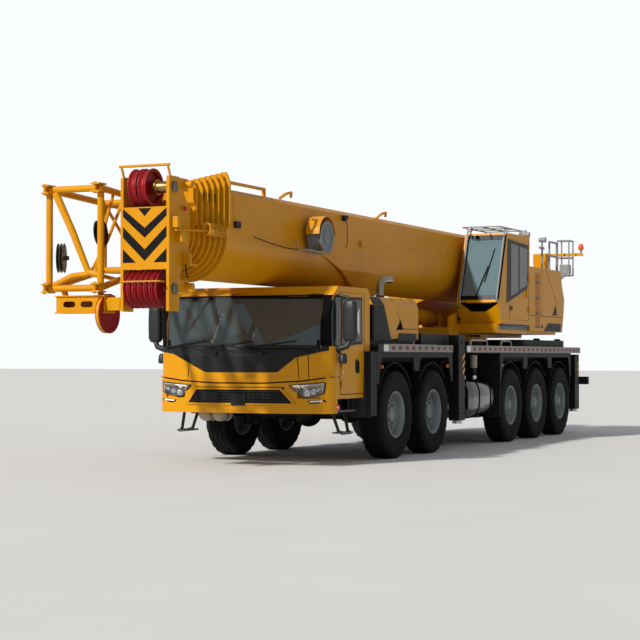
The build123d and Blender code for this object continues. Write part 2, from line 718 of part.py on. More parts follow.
# ---------------------------------------------------------------- turntable
PLATFORM_TOP = RING_TOP + PLATFORM_THICKNESS
CHEEK_OUTER = CHEEK_INNER + CHEEK_THICKNESS
with BuildPart() as turntable:
    with BuildSketch(Plane.XY.offset(RING_TOP)):
        with BuildLine():
            Polyline(
                (PLATFORM_X[0], -PLATFORM_HALF_WIDTH),
                (PLATFORM_X[1] - 40, -PLATFORM_HALF_WIDTH),
                (PLATFORM_X[1], -PLATFORM_HALF_WIDTH + 40),
                (PLATFORM_X[1], PLATFORM_HALF_WIDTH - 40),
                (PLATFORM_X[1] - 40, PLATFORM_HALF_WIDTH),
                (PLATFORM_X[0], PLATFORM_HALF_WIDTH),
                close=True,
            )
        make_face()
    extrude(amount=PLATFORM_THICKNESS)
    with BuildSketch(Plane.XY.offset(RING_LOWER_TOP + FIT)) as race:
        with Locations((SLEW_X, 0)):
            Circle(RING_RADIUS)
            Circle(RING_BORE, mode=Mode.SUBTRACT)
    extrude(race.sketch, amount=RING_TOP - RING_LOWER_TOP + 20)
    pivot_x, pivot_z = BOOM_PIVOT
    for side in SIDES.values():
        side_profile(
            [
                (PLATFORM_X[0] + 10, PLATFORM_TOP - 5),
                (PLATFORM_X[1] - 60, PLATFORM_TOP - 5),
                (PLATFORM_X[1] - 60, PLATFORM_TOP + 200),
                (pivot_x + 900, PLATFORM_TOP + 620),
                (pivot_x + 250, pivot_z + 150),
                (pivot_x, pivot_z + 220),
                (pivot_x - 200, pivot_z + 150),
                (WINCH[0] - 50, WINCH[1] + 180),
                (WINCH[0] - 150, WINCH[1] + 80),
                (WINCH[0] - 150, WINCH[1] - 100),
            ],
            (side * CHEEK_INNER, side * CHEEK_OUTER),
        )
    # lift cylinder foot: two lugs and their pin
    foot_x, foot_z = LIFT_FOOT
    block((foot_x - 320, foot_x + 260), (-CHEEK_INNER - 10, CHEEK_INNER + 10), (PLATFORM_TOP - 5, PLATFORM_TOP + 20))
    for side in SIDES.values():
        side_profile(
            [
                (foot_x - 260, PLATFORM_TOP - 5),
                (foot_x + 200, PLATFORM_TOP - 5),
                (foot_x + 130, foot_z + 110),
                (foot_x - 130, foot_z + 110),
            ],
            (side * (LIFT_EYE_WIDTH / 2 + 5), side * (LIFT_EYE_WIDTH / 2 + 65)),
        )
    rod((foot_x, -LIFT_EYE_WIDTH / 2 - 80, foot_z), (foot_x, LIFT_EYE_WIDTH / 2 + 80, foot_z), 70)
    rod((pivot_x, -CHEEK_OUTER - 20, pivot_z), (pivot_x, CHEEK_OUTER + 20, pivot_z), PIVOT_RADIUS)
    # outrigger under the operator's cab and carriers for the covers
    block((OPERATOR_X[0], OPERATOR_X[1]), (CHEEK_OUTER, OPERATOR_Y[1] - 60), (PLATFORM_TOP - 100, OPERATOR_Z[0]))
    for side in SIDES.values():
        block(
            (COVER_X[0] + 300, COVER_X[1] - 100),
            (side * (PLATFORM_HALF_WIDTH - 50), side * (COVER_OUTER - 100)),
            (COVER_Z[0] - 50, COVER_Z[0]),
        )
save(turntable, "turntable")


# ---------------------------------------------------------------- operator's cab
def operator_side(inset):
    """The (x, z) outline of the operator's cab, bulged at the knees and raked above."""
    x_low, x_high = OPERATOR_X
    z_low, z_high = OPERATOR_Z
    return [
        (x_low + inset, z_low + inset),
        (x_high - 100 - inset, z_low + inset),
        (x_high + 89 - inset, z_low + 390),
        (x_high - OPERATOR_RAKE - 70 - inset, z_high - 20 - inset),
        (x_low + inset, z_high - inset),
    ]


OPERATOR_DOOR_X = (-4120, -2980)
OPERATOR_DOOR_Z = (2230, 3720)
OPERATOR_HINGE_Z = (2400, 3000)
with BuildPart() as operator_cab:
    side_profile(operator_side(0), OPERATOR_Y)
    side_profile(
        operator_side(OPERATOR_WALL),
        (OPERATOR_Y[0] + OPERATOR_WALL, OPERATOR_Y[1] - OPERATOR_WALL),
        mode=Mode.SUBTRACT,
    )
    front = (OPERATOR_Y[0] + 70, OPERATOR_Y[1] - 70)
    block((OPERATOR_X[1] - 480, OPERATOR_X[1] + 200), front, (2600, 3690), mode=Mode.SUBTRACT)
    block(OPERATOR_DOOR_X, (OPERATOR_Y[1] - 60, OPERATOR_Y[1] + 10), OPERATOR_DOOR_Z, mode=Mode.SUBTRACT)
    block((-4000, -2950), (OPERATOR_Y[0] - 10, OPERATOR_Y[0] + 60), (2750, 3650), mode=Mode.SUBTRACT)
    block((-4050, -3000), (OPERATOR_Y[0] + 120, OPERATOR_Y[1] - 120), (3700, 3900), mode=Mode.SUBTRACT)
    for hinge_z in OPERATOR_HINGE_Z:
        door_hinge(OPERATOR_DOOR_X[0] + 3, OPERATOR_Y[1], 1, hinge_z, -1, moving=False)
save(operator_cab, "operator_cab")

with BuildPart() as operator_glass:
    side_profile(
        [
            (OPERATOR_X[1] + 60, 2600),
            (OPERATOR_X[1] + 60 - GLASS, 2600),
            (OPERATOR_X[1] - OPERATOR_RAKE - 60, 3690),
            (OPERATOR_X[1] - OPERATOR_RAKE - 60 + GLASS, 3690),
        ],
        front,
    )
    block((-4000, -2950), (OPERATOR_Y[0] + 20, OPERATOR_Y[0] + 20 + GLASS), (2750, 3650))
    block((-4050, -3000), (OPERATOR_Y[0] + 120, OPERATOR_Y[1] - 120), (3785, 3785 + GLASS))
save(operator_glass, "operator_glass")

with BuildPart() as operator_door:
    x_range = (OPERATOR_DOOR_X[0] + DOOR_GAP, OPERATOR_DOOR_X[1] - DOOR_GAP)
    z_range = (OPERATOR_DOOR_Z[0] + DOOR_GAP, OPERATOR_DOOR_Z[1] - DOOR_GAP)
    block(x_range, (OPERATOR_Y[1] - 50, OPERATOR_Y[1]), z_range)
    window = ((x_range[0] + 70, x_range[1] - 70), (z_range[0] + 420, z_range[1] - 70))
    block(window[0], (OPERATOR_Y[1] - 60, OPERATOR_Y[1] + 1), window[1], mode=Mode.SUBTRACT)
    block(window[0], (OPERATOR_Y[1] - 30, OPERATOR_Y[1] - 30 + GLASS), window[1])
    for hinge_z in OPERATOR_HINGE_Z:
        door_hinge(OPERATOR_DOOR_X[0] + 3, OPERATOR_Y[1], 1, hinge_z, 1, moving=True)
save(operator_door, "operator_door")

with BuildPart() as operator_interior:
    middle_y = sum(OPERATOR_Y) / 2
    low = OPERATOR_Z[0] + OPERATOR_WALL
    block((-4000, -3500), (middle_y - 240, middle_y + 240), (low, low + 420))
    block((-4060, -3960), (middle_y - 240, middle_y + 240), (low + 400, low + 1100))
    block((-2760, -2560), (middle_y - 250, middle_y + 250), (low, low + 620))
save(operator_interior, "operator_interior")


# ---------------------------------------------------------------- covers, winch and rear rails
with BuildPart() as covers:
    for side in SIDES.values():
        side_profile(
            [
                (COVER_X[1], COVER_Z[0]),
                (COVER_X[1], COVER_Z[1]),
                (COVER_X[0] + 260, COVER_Z[1]),
                (COVER_X[0] + 160, COVER_Z[1] - 280),
                (COVER_X[0], COVER_Z[1] - 580),
                (COVER_X[0] + 60, COVER_Z[0] + 330),
                (COVER_X[0] + 170, COVER_Z[0]),
            ],
            (side * COVER_INNER, side * COVER_OUTER),
        )
save(covers, "superstructure_covers")

with BuildPart() as drum:
    rod((WINCH[0], -380, WINCH[1]), (WINCH[0], 380, WINCH[1]), 170)
    for side in SIDES.values():
        rod((WINCH[0], side * 380, WINCH[1]), (WINCH[0], side * 410, WINCH[1]), 260)
    rod((WINCH[0], -CHEEK_INNER + FIT, WINCH[1]), (WINCH[0], CHEEK_INNER - FIT, WINCH[1]), 60)
save(drum, "winch_drum")

with BuildPart() as rails:
    low, high = COVER_Z[1], COVER_Z[1] + 560
    for side in SIDES.values():
        for rail_x in (COVER_X[0] + 300, COVER_X[0] + 800):
            rod((rail_x, side * 1380, low), (rail_x, side * 1380, high), 20)
        for z in (low + 280, high):
            rod((COVER_X[0] + 300, side * 1380, z), (COVER_X[0] + 800, side * 1380, z), 20)
save(rails, "rear_rails")


# ---------------------------------------------------------------- telescopic boom
BOOM_SIDE_LOW = BOOM_BOTTOM + BOOM_WIDTH / 2  # where the round bottom starts, the same for every section
INNER_TAIL = -4960  # the inner sections end ahead of the pivot tube
TAIL_STEP = 60


def boom_tail(index):
    """Where a section ends at the rear."""
    return INNER_TAIL + TAIL_STEP * index if index else BOOM_TAIL


def boom_outline(grow, mode=Mode.ADD):
    """The boom's (y, z) cross-section: flat top and sides over a half-round bottom."""
    half = BOOM_WIDTH / 2 + grow
    top = BOOM_TOP + grow
    low = BOOM_SIDE_LOW
    with BuildLine() as outline:
        Polyline((half, low), (half, top - 60), (half - 60, top), (60 - half, top), (-half, top - 60), (-half, low))
        ThreePointArc((-half, low), (0, low - half), (half, low))
    make_face(outline.edges(), mode=mode)


def boom_section(index, tube_end):
    """One hollow section with the finned collar that guides the next one."""
    shrink = -BOOM_STEP * index
    tail = boom_tail(index)
    collar = COLLAR_X + COLLAR_PITCH * index
    with BuildSketch(Plane.YZ.offset(tail)) as tube:
        boom_outline(shrink)
        boom_outline(shrink - BOOM_WALL, mode=Mode.SUBTRACT)
    extrude(tube.sketch, amount=tube_end - tail)
    with BuildSketch(Plane.YZ.offset(collar)) as plate:
        boom_outline(shrink + COLLAR_PROUD)
        fin_half = BOOM_WIDTH / 2 + shrink + FIN_PROUD
        fin_top = FIN_TOP - FIN_TOP_STEP * index
        with BuildLine():
            Polyline(
                (-fin_half, FIN_BOTTOM),
                (-fin_half, fin_top - 130),
                (-fin_half + 60, fin_top),
                (-fin_half + 130, fin_top),
                (-fin_half + 190, BOOM_TOP + shrink + 30),
                (fin_half - 190, BOOM_TOP + shrink + 30),
                (fin_half - 130, fin_top),
                (fin_half - 60, fin_top),
                (fin_half, fin_top - 130),
                (fin_half, FIN_BOTTOM),
                close=True,
            )
        make_face()
        boom_outline(shrink - BOOM_STEP + FIT, mode=Mode.SUBTRACT)
    extrude(plate.sketch, amount=COLLAR_THICKNESS)


with BuildPart() as base:
    boom_section(0, COLLAR_X + 1)
    # closed tail with the pivot tube, and the boss that carries the cable reel
    with BuildSketch(Plane.YZ.offset(BOOM_TAIL)) as tail_plate:
        boom_outline(0)
    extrude(tail_plate.sketch, amount=20)
    pivot_x, pivot_z = BOOM_PIVOT
    rod((pivot_x, -CHEEK_INNER + 5, pivot_z), (pivot_x, CHEEK_INNER - 5, pivot_z), PIVOT_RADIUS + 60)
    rod((pivot_x, -HALF_WIDTH, pivot_z), (pivot_x, HALF_WIDTH, pivot_z), PIVOT_RADIUS + FIT, mode=Mode.SUBTRACT)
    reel_x, reel_z = REEL
    rod((reel_x, BOOM_WIDTH / 2 - 5, reel_z), (reel_x, REEL_INNER, reel_z), 60)
save(base, "boom_base")

# The welded bracket under the base section that the lift cylinder pushes on: on each side a
# gusset plate that narrows from the section's flank to a lug beside the cylinder's eye.
eye_x, eye_z = LIFT_EYE
LUG_BOTTOM = eye_z - LIFT_EYE_RADIUS
LUG_INNER = LIFT_EYE_WIDTH / 2 + 5
LUG_THICKNESS = 90
GUSSET_LOW = HOOD_TOP + 40  # the gusset's front edge rises from here, clear of the hood
GUSSET_FRONT_X = 3420
GUSSET_TOP = 3160
with BuildPart() as bracket:
    for side in SIDES.values():
        with BuildPart(mode=Mode.PRIVATE) as gusset:
            cross_profile(
                [
                    (side * BOOM_WIDTH / 4, GUSSET_TOP),
                    (side * (BOOM_WIDTH / 2 + 14), GUSSET_TOP),
                    (side * (BOOM_WIDTH / 2 + 14), 2900),
                    (side * (LUG_INNER + LUG_THICKNESS + 40), GUSSET_LOW - 20),
                    (side * (LUG_INNER + LUG_THICKNESS + 40), LUG_BOTTOM),
                    (side * LUG_INNER, LUG_BOTTOM),
                ],
                (eye_x - 1000, GUSSET_FRONT_X),
            )
            side_profile(
                [
                    (eye_x - 130, LUG_BOTTOM + 60),
                    (eye_x - 70, LUG_BOTTOM),
                    (eye_x + 70, LUG_BOTTOM),
                    (eye_x + 130, LUG_BOTTOM + 60),
                    (eye_x + 200, GUSSET_LOW),
                    (GUSSET_FRONT_X, GUSSET_TOP - 60),
                    (GUSSET_FRONT_X, GUSSET_TOP),
                    (eye_x + 520, GUSSET_TOP),
                    (eye_x - 330, 2700),
                    (eye_x - 330, BOOM_BOTTOM),
                ],
                (-HALF_WIDTH, HALF_WIDTH),
                mode=Mode.INTERSECT,
            )
            with BuildSketch(Plane.YZ.offset(eye_x - 1100)) as inside:
                boom_outline(FIT)
            extrude(inside.sketch, amount=GUSSET_FRONT_X - eye_x + 1200, mode=Mode.SUBTRACT)
        add(gusset.part)
        pin_face = side * (LUG_INNER + LUG_THICKNESS + 40)
        rod((eye_x, pin_face, eye_z), (eye_x, pin_face + side * 20, eye_z), 75)
save(bracket, "lift_bracket")

for index in range(1, BOOM_SECTIONS - 1):
    with BuildPart() as section:
        boom_section(index, COLLAR_X + COLLAR_PITCH * index + 1)
    save(section, f"boom_section_{index + 1}")

HEAD_INDEX = BOOM_SECTIONS - 1
HEAD_PLATE = 25
RAIL_Z = 4025
UPPER_SHEAVE_Z = 3750
LOWER_SHEAVE_Z = 2430
UPPER_SHEAVE_Y = (-172, 65)
UPPER_SHEAVE_RADIUS = 250
LOWER_SHEAVE_RADIUS = 250
SHEAVE_X = 7590
TUBE_END_X = 7335
with BuildPart() as head:
    boom_section(HEAD_INDEX, TUBE_END_X)
    with BuildSketch(Plane.YZ.offset(TUBE_END_X - 20)) as cap:
        boom_outline(-BOOM_STEP * HEAD_INDEX)
    extrude(cap.sketch, amount=20)
    for side in SIDES.values():
        outer = HEAD_HALF_WIDTH + HEAD_PLATE
        side_profile(
            [
                (HEAD_X[0], 3420),
                (HEAD_X[0] + 40, 2960),
                (HEAD_X[0] + 260, 2640),
                (HEAD_X[0] + 300, HEAD_Z[0]),
                (HEAD_X[1], HEAD_Z[0]),
                (HEAD_X[1], HEAD_Z[1] - 20),
                (HEAD_X[1] - 30, HEAD_Z[1]),
                (HEAD_X[0] + 300, HEAD_Z[1]),
                (HEAD_X[0] + 220, HEAD_Z[1] - 120),
            ],
            (side * 320, side * outer),
        )
        for lug_x, lug_z in ((7300, 3800), (7270, 2470)):
            rod((lug_x, side * 320, lug_z), (lug_x, side * (outer + 110), lug_z), 45)
            side_profile(
                [
                    (lug_x - 80, lug_z - 80),
                    (lug_x + 200, lug_z - 80),
                    (lug_x + 200, lug_z + 80),
                    (lug_x - 80, lug_z + 80),
                ],
                (side * 320, side * outer),
            )
    block((HEAD_X[1] - 20, HEAD_X[1]), (-325, 325), (2680, 3490))
    # rope guard rail over the upper sheaves
    for side in SIDES.values():
        rod((HEAD_X[1] - 70, side * 345, HEAD_Z[1] - 30), (HEAD_X[1] + 10, side * 345, RAIL_Z), 16)
    rod((HEAD_X[1] + 10, -375, RAIL_Z), (HEAD_X[1] + 10, 375, RAIL_Z), 18)
    for z, r in ((UPPER_SHEAVE_Z, 50), (LOWER_SHEAVE_Z, 50)):
        rod((SHEAVE_X, -HEAD_HALF_WIDTH - 40, z), (SHEAVE_X, HEAD_HALF_WIDTH + 40, z), r)
save(head, "boom_section_7_head")


def sheave(y, z, radius):
    """A rope sheave about its shaft, with its groove."""
    with BuildSketch(Plane((SHEAVE_X, 0, z), x_dir=(0, 1, 0), z_dir=(1, 0, 0))) as groove:
        with BuildLine():
            Polyline(
                (y - 22, 50 + FIT),
                (y - 22, radius),
                (y - 14, radius),
                (y - 9, radius - 24),
                (y + 9, radius - 24),
                (y + 14, radius),
                (y + 22, radius),
                (y + 22, 50 + FIT),
                close=True,
            )
        make_face()
    revolve(groove.sketch, axis=Axis((SHEAVE_X, 0, z), (0, 1, 0)))


with BuildPart() as upper_sheaves:
    rod((SHEAVE_X, -210, UPPER_SHEAVE_Z), (SHEAVE_X, 110, UPPER_SHEAVE_Z), 70)
    rod((SHEAVE_X, -210, UPPER_SHEAVE_Z), (SHEAVE_X, 110, UPPER_SHEAVE_Z), 50 + FIT, mode=Mode.SUBTRACT)
    for y in UPPER_SHEAVE_Y:
        sheave(y, UPPER_SHEAVE_Z, UPPER_SHEAVE_RADIUS)
save(upper_sheaves, "upper_sheaves")

with BuildPart() as lower_sheaves:
    rod((SHEAVE_X, -300, LOWER_SHEAVE_Z), (SHEAVE_X, 300, LOWER_SHEAVE_Z), 70)
    rod((SHEAVE_X, -300, LOWER_SHEAVE_Z), (SHEAVE_X, 300, LOWER_SHEAVE_Z), 50 + FIT, mode=Mode.SUBTRACT)
    for step in range(6):
        sheave(-250 + 100 * step, LOWER_SHEAVE_Z, LOWER_SHEAVE_RADIUS)
save(lower_sheaves, "lower_sheaves")


# ---------------------------------------------------------------- swing-away lattice jib, stowed on the right
JIB_TUBE = 45
JIB_BRACE = 24
JIB_STATIONS = (  # x, y inner, y outer, z low, z high
    (7720, -662, -1455, 2455, 3765),
    (6380, -760, -1440, 2760, 3700),
    (-3600, -755, -1400, 3000, 3500),
)
JIB_BAYS = 9
with BuildPart() as jib:
    corners = [
        [(x, y, z) for y in (inner, outer) for z in (low, high)]
        for x, inner, outer, low, high in JIB_STATIONS
    ]
    for near, far in zip(corners, corners[1:]):
        for start, end in zip(near, far):
            rod(start, end, JIB_TUBE)
    for ring in corners[:2]:
        for start, end in ((0, 1), (1, 3), (3, 2), (2, 0)):
            rod(ring[start], ring[end], JIB_TUBE)
    for ring in corners:
        for corner in ring:
            with Locations(corner):
                Sphere(JIB_TUBE + 6)

    def at(corner, share):
        return Vector(corners[1][corner]) * (1 - share) + Vector(corners[2][corner]) * share

    for bay in range(JIB_BAYS):
        low, high = bay / JIB_BAYS, (bay + 1) / JIB_BAYS
        for start, end in ((0, 1), (2, 3), (0, 2), (1, 3)):
            pair = (start, end) if bay % 2 else (end, start)
            rod(at(pair[0], low), at(pair[1], high), JIB_BRACE)
    for start, end in ((0, 1), (1, 3), (3, 2), (2, 0)):
        rod(corners[2][start], corners[2][end], JIB_BRACE)
    # hoist box under the jib's front frame, with two slots and its sheave
    block((7500, 7760), (-1320, -580), (2130, 2350))
    block((7520, 7740), (-1300, -600), (2150, 2330), mode=Mode.SUBTRACT)
    for slot_y in (-1120, -850):
        with BuildSketch(Plane.YZ.offset(7700)) as slot:
            with Locations((slot_y, 2240)):
                SlotOverall(190, 80)
        extrude(slot.sketch, amount=100, mode=Mode.SUBTRACT)
    for y in (-700, -1250):
        rod((7630, y, 2340), (7700, y, 2460), 40)
    rod((7630, -640, 2110), (7630, -600, 2110), 250)
    block((7560, 7700), (-700, -635), (2040, 2140))
    # carriers that hold the folded jib on the boom's side
    for x, z in ((5200, 3300), (-1500, 3300)):
        block((x - 60, x + 60), (-760, -BOOM_WIDTH / 2 - FIT), (z - 90, z + 90))
        rod((x, -755, 2780), (x, -755, 3700), 40)
save(jib, "lattice_jib")


# ---------------------------------------------------------------- lift cylinder
foot = Vector(LIFT_FOOT[0], 0, LIFT_FOOT[1])
eye = Vector(LIFT_EYE[0], 0, LIFT_EYE[1])
along = (eye - foot).normalized()
gland = eye - along * 260
with BuildPart() as barrel:
    rod(foot + along * 90, gland, LIFT_BARREL_RADIUS)
    rod(foot + Vector(0, -LIFT_EYE_WIDTH / 2, 0), foot + Vector(0, LIFT_EYE_WIDTH / 2, 0), LIFT_EYE_RADIUS)
    rod(foot + Vector(0, -200, 0), foot + Vector(0, 200, 0), 70 + FIT, mode=Mode.SUBTRACT)
    rod(foot + along * 200, gland + along, LIFT_BORE, mode=Mode.SUBTRACT)
    rod(gland - along * 60, gland, LIFT_BORE + 1)
    rod(gland - along * 70, gland + along, LIFT_ROD_RADIUS + FIT, mode=Mode.SUBTRACT)
save(barrel, "lift_barrel")

with BuildPart() as lift_rod:
    rod(foot + along * 260, eye, LIFT_ROD_RADIUS)
    rod(foot + along * 220, foot + along * 380, LIFT_BORE - FIT)
    rod(eye + Vector(0, -LIFT_EYE_WIDTH / 2, 0), eye + Vector(0, LIFT_EYE_WIDTH / 2, 0), LIFT_EYE_RADIUS)
    rod(eye + Vector(0, -200, 0), eye + Vector(0, 200, 0), 60, mode=Mode.SUBTRACT)
save(lift_rod, "lift_rod")


# ---------------------------------------------------------------- cable reel on the boom's left side
with BuildPart() as reel:
    rod((reel_x, REEL_INNER + 20, reel_z), (reel_x, 800, reel_z), 120)
    for y in (740, 800):
        rod((reel_x, y, reel_z), (reel_x, y + 12, reel_z), 245)
    rod((reel_x, REEL_INNER + FIT, reel_z), (reel_x, 860, reel_z), 40)
save(reel, "cable_reel")
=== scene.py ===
import json
import math

import bmesh
import bpy
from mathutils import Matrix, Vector
from mathutils.bvhtree import BVHTree

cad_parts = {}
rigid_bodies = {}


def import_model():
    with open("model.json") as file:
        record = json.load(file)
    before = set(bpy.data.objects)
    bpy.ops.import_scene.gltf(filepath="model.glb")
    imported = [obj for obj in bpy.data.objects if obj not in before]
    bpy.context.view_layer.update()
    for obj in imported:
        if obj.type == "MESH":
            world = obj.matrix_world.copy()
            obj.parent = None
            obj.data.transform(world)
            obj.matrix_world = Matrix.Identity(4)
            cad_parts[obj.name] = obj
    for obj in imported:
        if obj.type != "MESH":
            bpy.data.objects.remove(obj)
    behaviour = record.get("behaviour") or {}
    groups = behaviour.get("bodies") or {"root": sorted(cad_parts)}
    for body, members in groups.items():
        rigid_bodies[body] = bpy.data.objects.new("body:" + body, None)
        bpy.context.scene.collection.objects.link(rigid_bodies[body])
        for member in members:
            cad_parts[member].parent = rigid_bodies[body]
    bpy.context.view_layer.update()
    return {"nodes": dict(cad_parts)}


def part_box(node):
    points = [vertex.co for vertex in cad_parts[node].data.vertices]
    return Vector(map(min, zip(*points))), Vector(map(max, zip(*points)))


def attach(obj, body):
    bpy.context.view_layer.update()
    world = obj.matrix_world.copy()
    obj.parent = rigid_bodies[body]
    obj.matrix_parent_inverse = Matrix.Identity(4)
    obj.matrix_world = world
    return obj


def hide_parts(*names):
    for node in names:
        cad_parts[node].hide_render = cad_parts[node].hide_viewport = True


for left_over in list(bpy.data.objects):
    bpy.data.objects.remove(left_over, do_unlink=True)
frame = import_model()


# ---- Chassis frame, axle beams and steering knuckles
# Welded and cast steel under the deck, sprayed satin black with a two-pack chassis paint after
# welding. It is never polished, so road dust stays in its upward faces.
def colour(code):
    """An sRGB hex colour as linear values."""
    parts = [int(code[place:place + 2], 16) / 255 for place in (1, 3, 5)]
    return [p / 12.92 if p <= 0.04045 else ((p + 0.055) / 1.055) ** 2.4 for p in parts] + [1.0]


def node(tree, kind, settings=(), links=()):
    """Adds a node. Settings go to its own properties or else to its sockets; links feed its sockets."""
    made = tree.nodes.new(kind)
    for key, value in dict(settings).items():
        if isinstance(key, str) and hasattr(made, key):
            setattr(made, key, value)
        else:
            made.inputs[key].default_value = value
    for key, source in dict(links).items():
        tree.links.new(source, made.inputs[key])
    return made


def opened(name):
    """A new material: itself, its node tree, its shader and the node that gives the place on the piece."""
    finish = bpy.data.materials.new(name)
    finish.use_nodes = True
    tree = finish.node_tree
    return finish, tree, tree.nodes["Principled BSDF"], node(tree, "ShaderNodeTexCoord")


ROAD_DUST = "#8A7F70"


def sprayed(name, base, worn, roughness, dust=0.25, drift=0.10, coat=0.0, metallic=0.0, gloss=0.35):
    """A sprayed paint. Its tone drifts over large panels, dust settles on what faces up and low
    down, and the paint is rubbed thin along edges; each gives the eye the size of the machine."""
    finish, tree, shader, place = opened(name)
    # drift: clouds about 700 mm across, the reach of one pass of the spray gun
    clouds = node(tree, "ShaderNodeTexNoise", {"Scale": 1.4, "Detail": 3.0}, {"Vector": place.outputs["Object"]})
    shift = node(
        tree, "ShaderNodeMapRange",
        {"From Min": 0.3, "From Max": 0.7, "To Min": 1.0 - drift, "To Max": 1.0 + drift},
        {"Value": clouds.outputs["Fac"]},
    )
    toned = node(
        tree, "ShaderNodeHueSaturation", {"Color": colour(base)}, {"Value": shift.outputs["Result"]}
    )
    # dust: on faces that look up, and more below 1.2 m, broken up in patches of about 60 mm
    facing = node(tree, "ShaderNodeSeparateXYZ", (), {"Vector": place.outputs["Normal"]})
    height = node(tree, "ShaderNodeSeparateXYZ", (), {"Vector": place.outputs["Object"]})
    upward = node(
        tree, "ShaderNodeMapRange", {"From Min": 0.4, "From Max": 1.0}, {"Value": facing.outputs["Z"]}
    )
    low = node(
        tree, "ShaderNodeMapRange",
        {"From Min": 1.2, "From Max": 0.3, "To Max": 0.6},
        {"Value": height.outputs["Z"]},
    )
    patches = node(
        tree, "ShaderNodeTexNoise", {"Scale": 16.0, "Detail": 6.0, "Roughness": 0.65},
        {"Vector": place.outputs["Object"]},
    )
    laid = node(
        tree, "ShaderNodeMath", {"operation": "ADD", "use_clamp": True},
        {0: upward.outputs["Result"], 1: low.outputs["Result"]},
    )
    broken = node(
        tree, "ShaderNodeMapRange",
        {"From Min": 0.35, "From Max": 0.75, "To Min": 0.25 * dust, "To Max": dust},
        {"Value": patches.outputs["Fac"]},
    )
    dusty = node(
        tree, "ShaderNodeMath", {"operation": "MULTIPLY"},
        {0: laid.outputs[0], 1: broken.outputs["Result"]},
    )
    soiled = node(
        tree, "ShaderNodeMix", {"data_type": "RGBA", 7: colour(ROAD_DUST)},
        {0: dusty.outputs[0], 6: toned.outputs["Color"]},
    )
    # wear: 6 mm along each sharp edge, where gloves, boots and slings rub
    rounded = node(tree, "ShaderNodeBevel", {"samples": 4, "Radius": 0.006})
    true = node(tree, "ShaderNodeNewGeometry")
    turn = node(
        tree, "ShaderNodeVectorMath", {"operation": "DOT_PRODUCT"},
        {0: rounded.outputs["Normal"], 1: true.outputs["Normal"]},
    )
    edge = node(
        tree, "ShaderNodeMapRange",
        {"From Min": 0.985, "From Max": 0.86, "To Max": 0.75},
        {"Value": turn.outputs["Value"]},
    )
    rubbed = node(
        tree, "ShaderNodeMath", {"operation": "MULTIPLY"},
        {0: edge.outputs["Result"], 1: patches.outputs["Fac"]},
    )
    done = node(
        tree, "ShaderNodeMix", {"data_type": "RGBA", 7: colour(worn)},
        {0: rubbed.outputs[0], 6: soiled.outputs[2]},
    )
    sheen = node(
        tree, "ShaderNodeMapRange",
        {"From Min": 0.3, "From Max": 0.7, "To Min": roughness - 0.06, "To Max": roughness + 0.10},
        {"Value": patches.outputs["Fac"]},
    )
    # the sheet itself is a little wavy between its welds, about 200 mm from crest to crest
    waves = node(tree, "ShaderNodeTexNoise", {"Scale": 5.0, "Detail": 1.0}, {"Vector": place.outputs["Object"]})
    bump = node(
        tree, "ShaderNodeBump", {"Strength": 0.25, "Distance": 0.004}, {"Height": waves.outputs["Fac"]}
    )
    tree.links.new(done.outputs[2], shader.inputs["Base Color"])
    tree.links.new(sheen.outputs["Result"], shader.inputs["Roughness"])
    tree.links.new(bump.outputs["Normal"], shader.inputs["Normal"])
    shader.inputs["Metallic"].default_value = metallic
    shader.inputs["Specular IOR Level"].default_value = gloss
    shader.inputs["Coat Weight"].default_value = coat
    shader.inputs["Coat Roughness"].default_value = 0.06
    return finish


def dress(finish, *names):
    """Puts a finish on CAD nodes."""
    for name in names:
        slots = frame["nodes"][name].material_slots
        if slots:
            for held in slots:
                held.material = finish
        else:
            frame["nodes"][name].data.materials.append(finish)


# satin black: deep and even, so the frame reads as one dark mass behind the wheels
satin_black = sprayed("satin_black_chassis_paint", "#0C0D0E", "#2E2E2D", 0.50, dust=0.14, gloss=0.25)
dress(satin_black, "chassis_frame", "axle_beams")
SIDES = (("left", "+y", 1), ("right", "-y", -1))  # a side's name, the way it faces and its sign along Y
for side, _, _ in SIDES:
    for axle in (1, 2):
        dress(satin_black, f"knuckle_{axle}_{side}")


# ---- Wheels: ten 14.00 R25 tyres on ten-bolt steel discs
# Black rubber moulded in a segmented mould, with zigzag ribs, cut shoulder lugs and a plain
# sidewall. The discs are pressed steel, sprayed silver grey; the rear ones carry planetary hubs.
def mesh_object(name, groups):
    """One object from groups of (finish, meshes), each mesh being its corners and its faces."""
    corners, faces, finish_of, finishes = [], [], [], []
    for number, (finish, meshes) in enumerate(groups):
        finishes.append(finish)
        for points, polygons in meshes:
            start = len(corners)
            corners.extend(tuple(point) for point in points)
            faces.extend([start + place for place in polygon] for polygon in polygons)
            finish_of.extend([number] * len(polygons))
    data = bpy.data.meshes.new(name)
    data.from_pydata(corners, [], faces)
    for finish in finishes:
        data.materials.append(finish)
    data.polygons.foreach_set("material_index", finish_of)
    data.polygons.foreach_set("use_smooth", [True] * len(faces))
    data.validate()
    shape = bmesh.new()
    shape.from_mesh(data)
    bmesh.ops.recalc_face_normals(shape, faces=shape.faces)
    shape.to_mesh(data)
    shape.free()
    data.set_sharp_from_angle(angle=math.radians(32))
    made = bpy.data.objects.new(name, data)
    bpy.context.collection.objects.link(made)
    return made


def piece(name, groups, body, rounding=0.0, stands_for=()):
    """A finished piece: its mesh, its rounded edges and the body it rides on."""
    made = mesh_object(name, groups)
    if rounding:
        edges = made.modifiers.new("rounded_edges", "BEVEL")
        edges.width = rounding
        edges.segments = 2
        edges.limit_method = "ANGLE"
        edges.angle_limit = math.radians(40)
        edges.use_clamp_overlap = True
    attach(made, body)
    if stands_for:
        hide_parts(*stands_for)
    return made


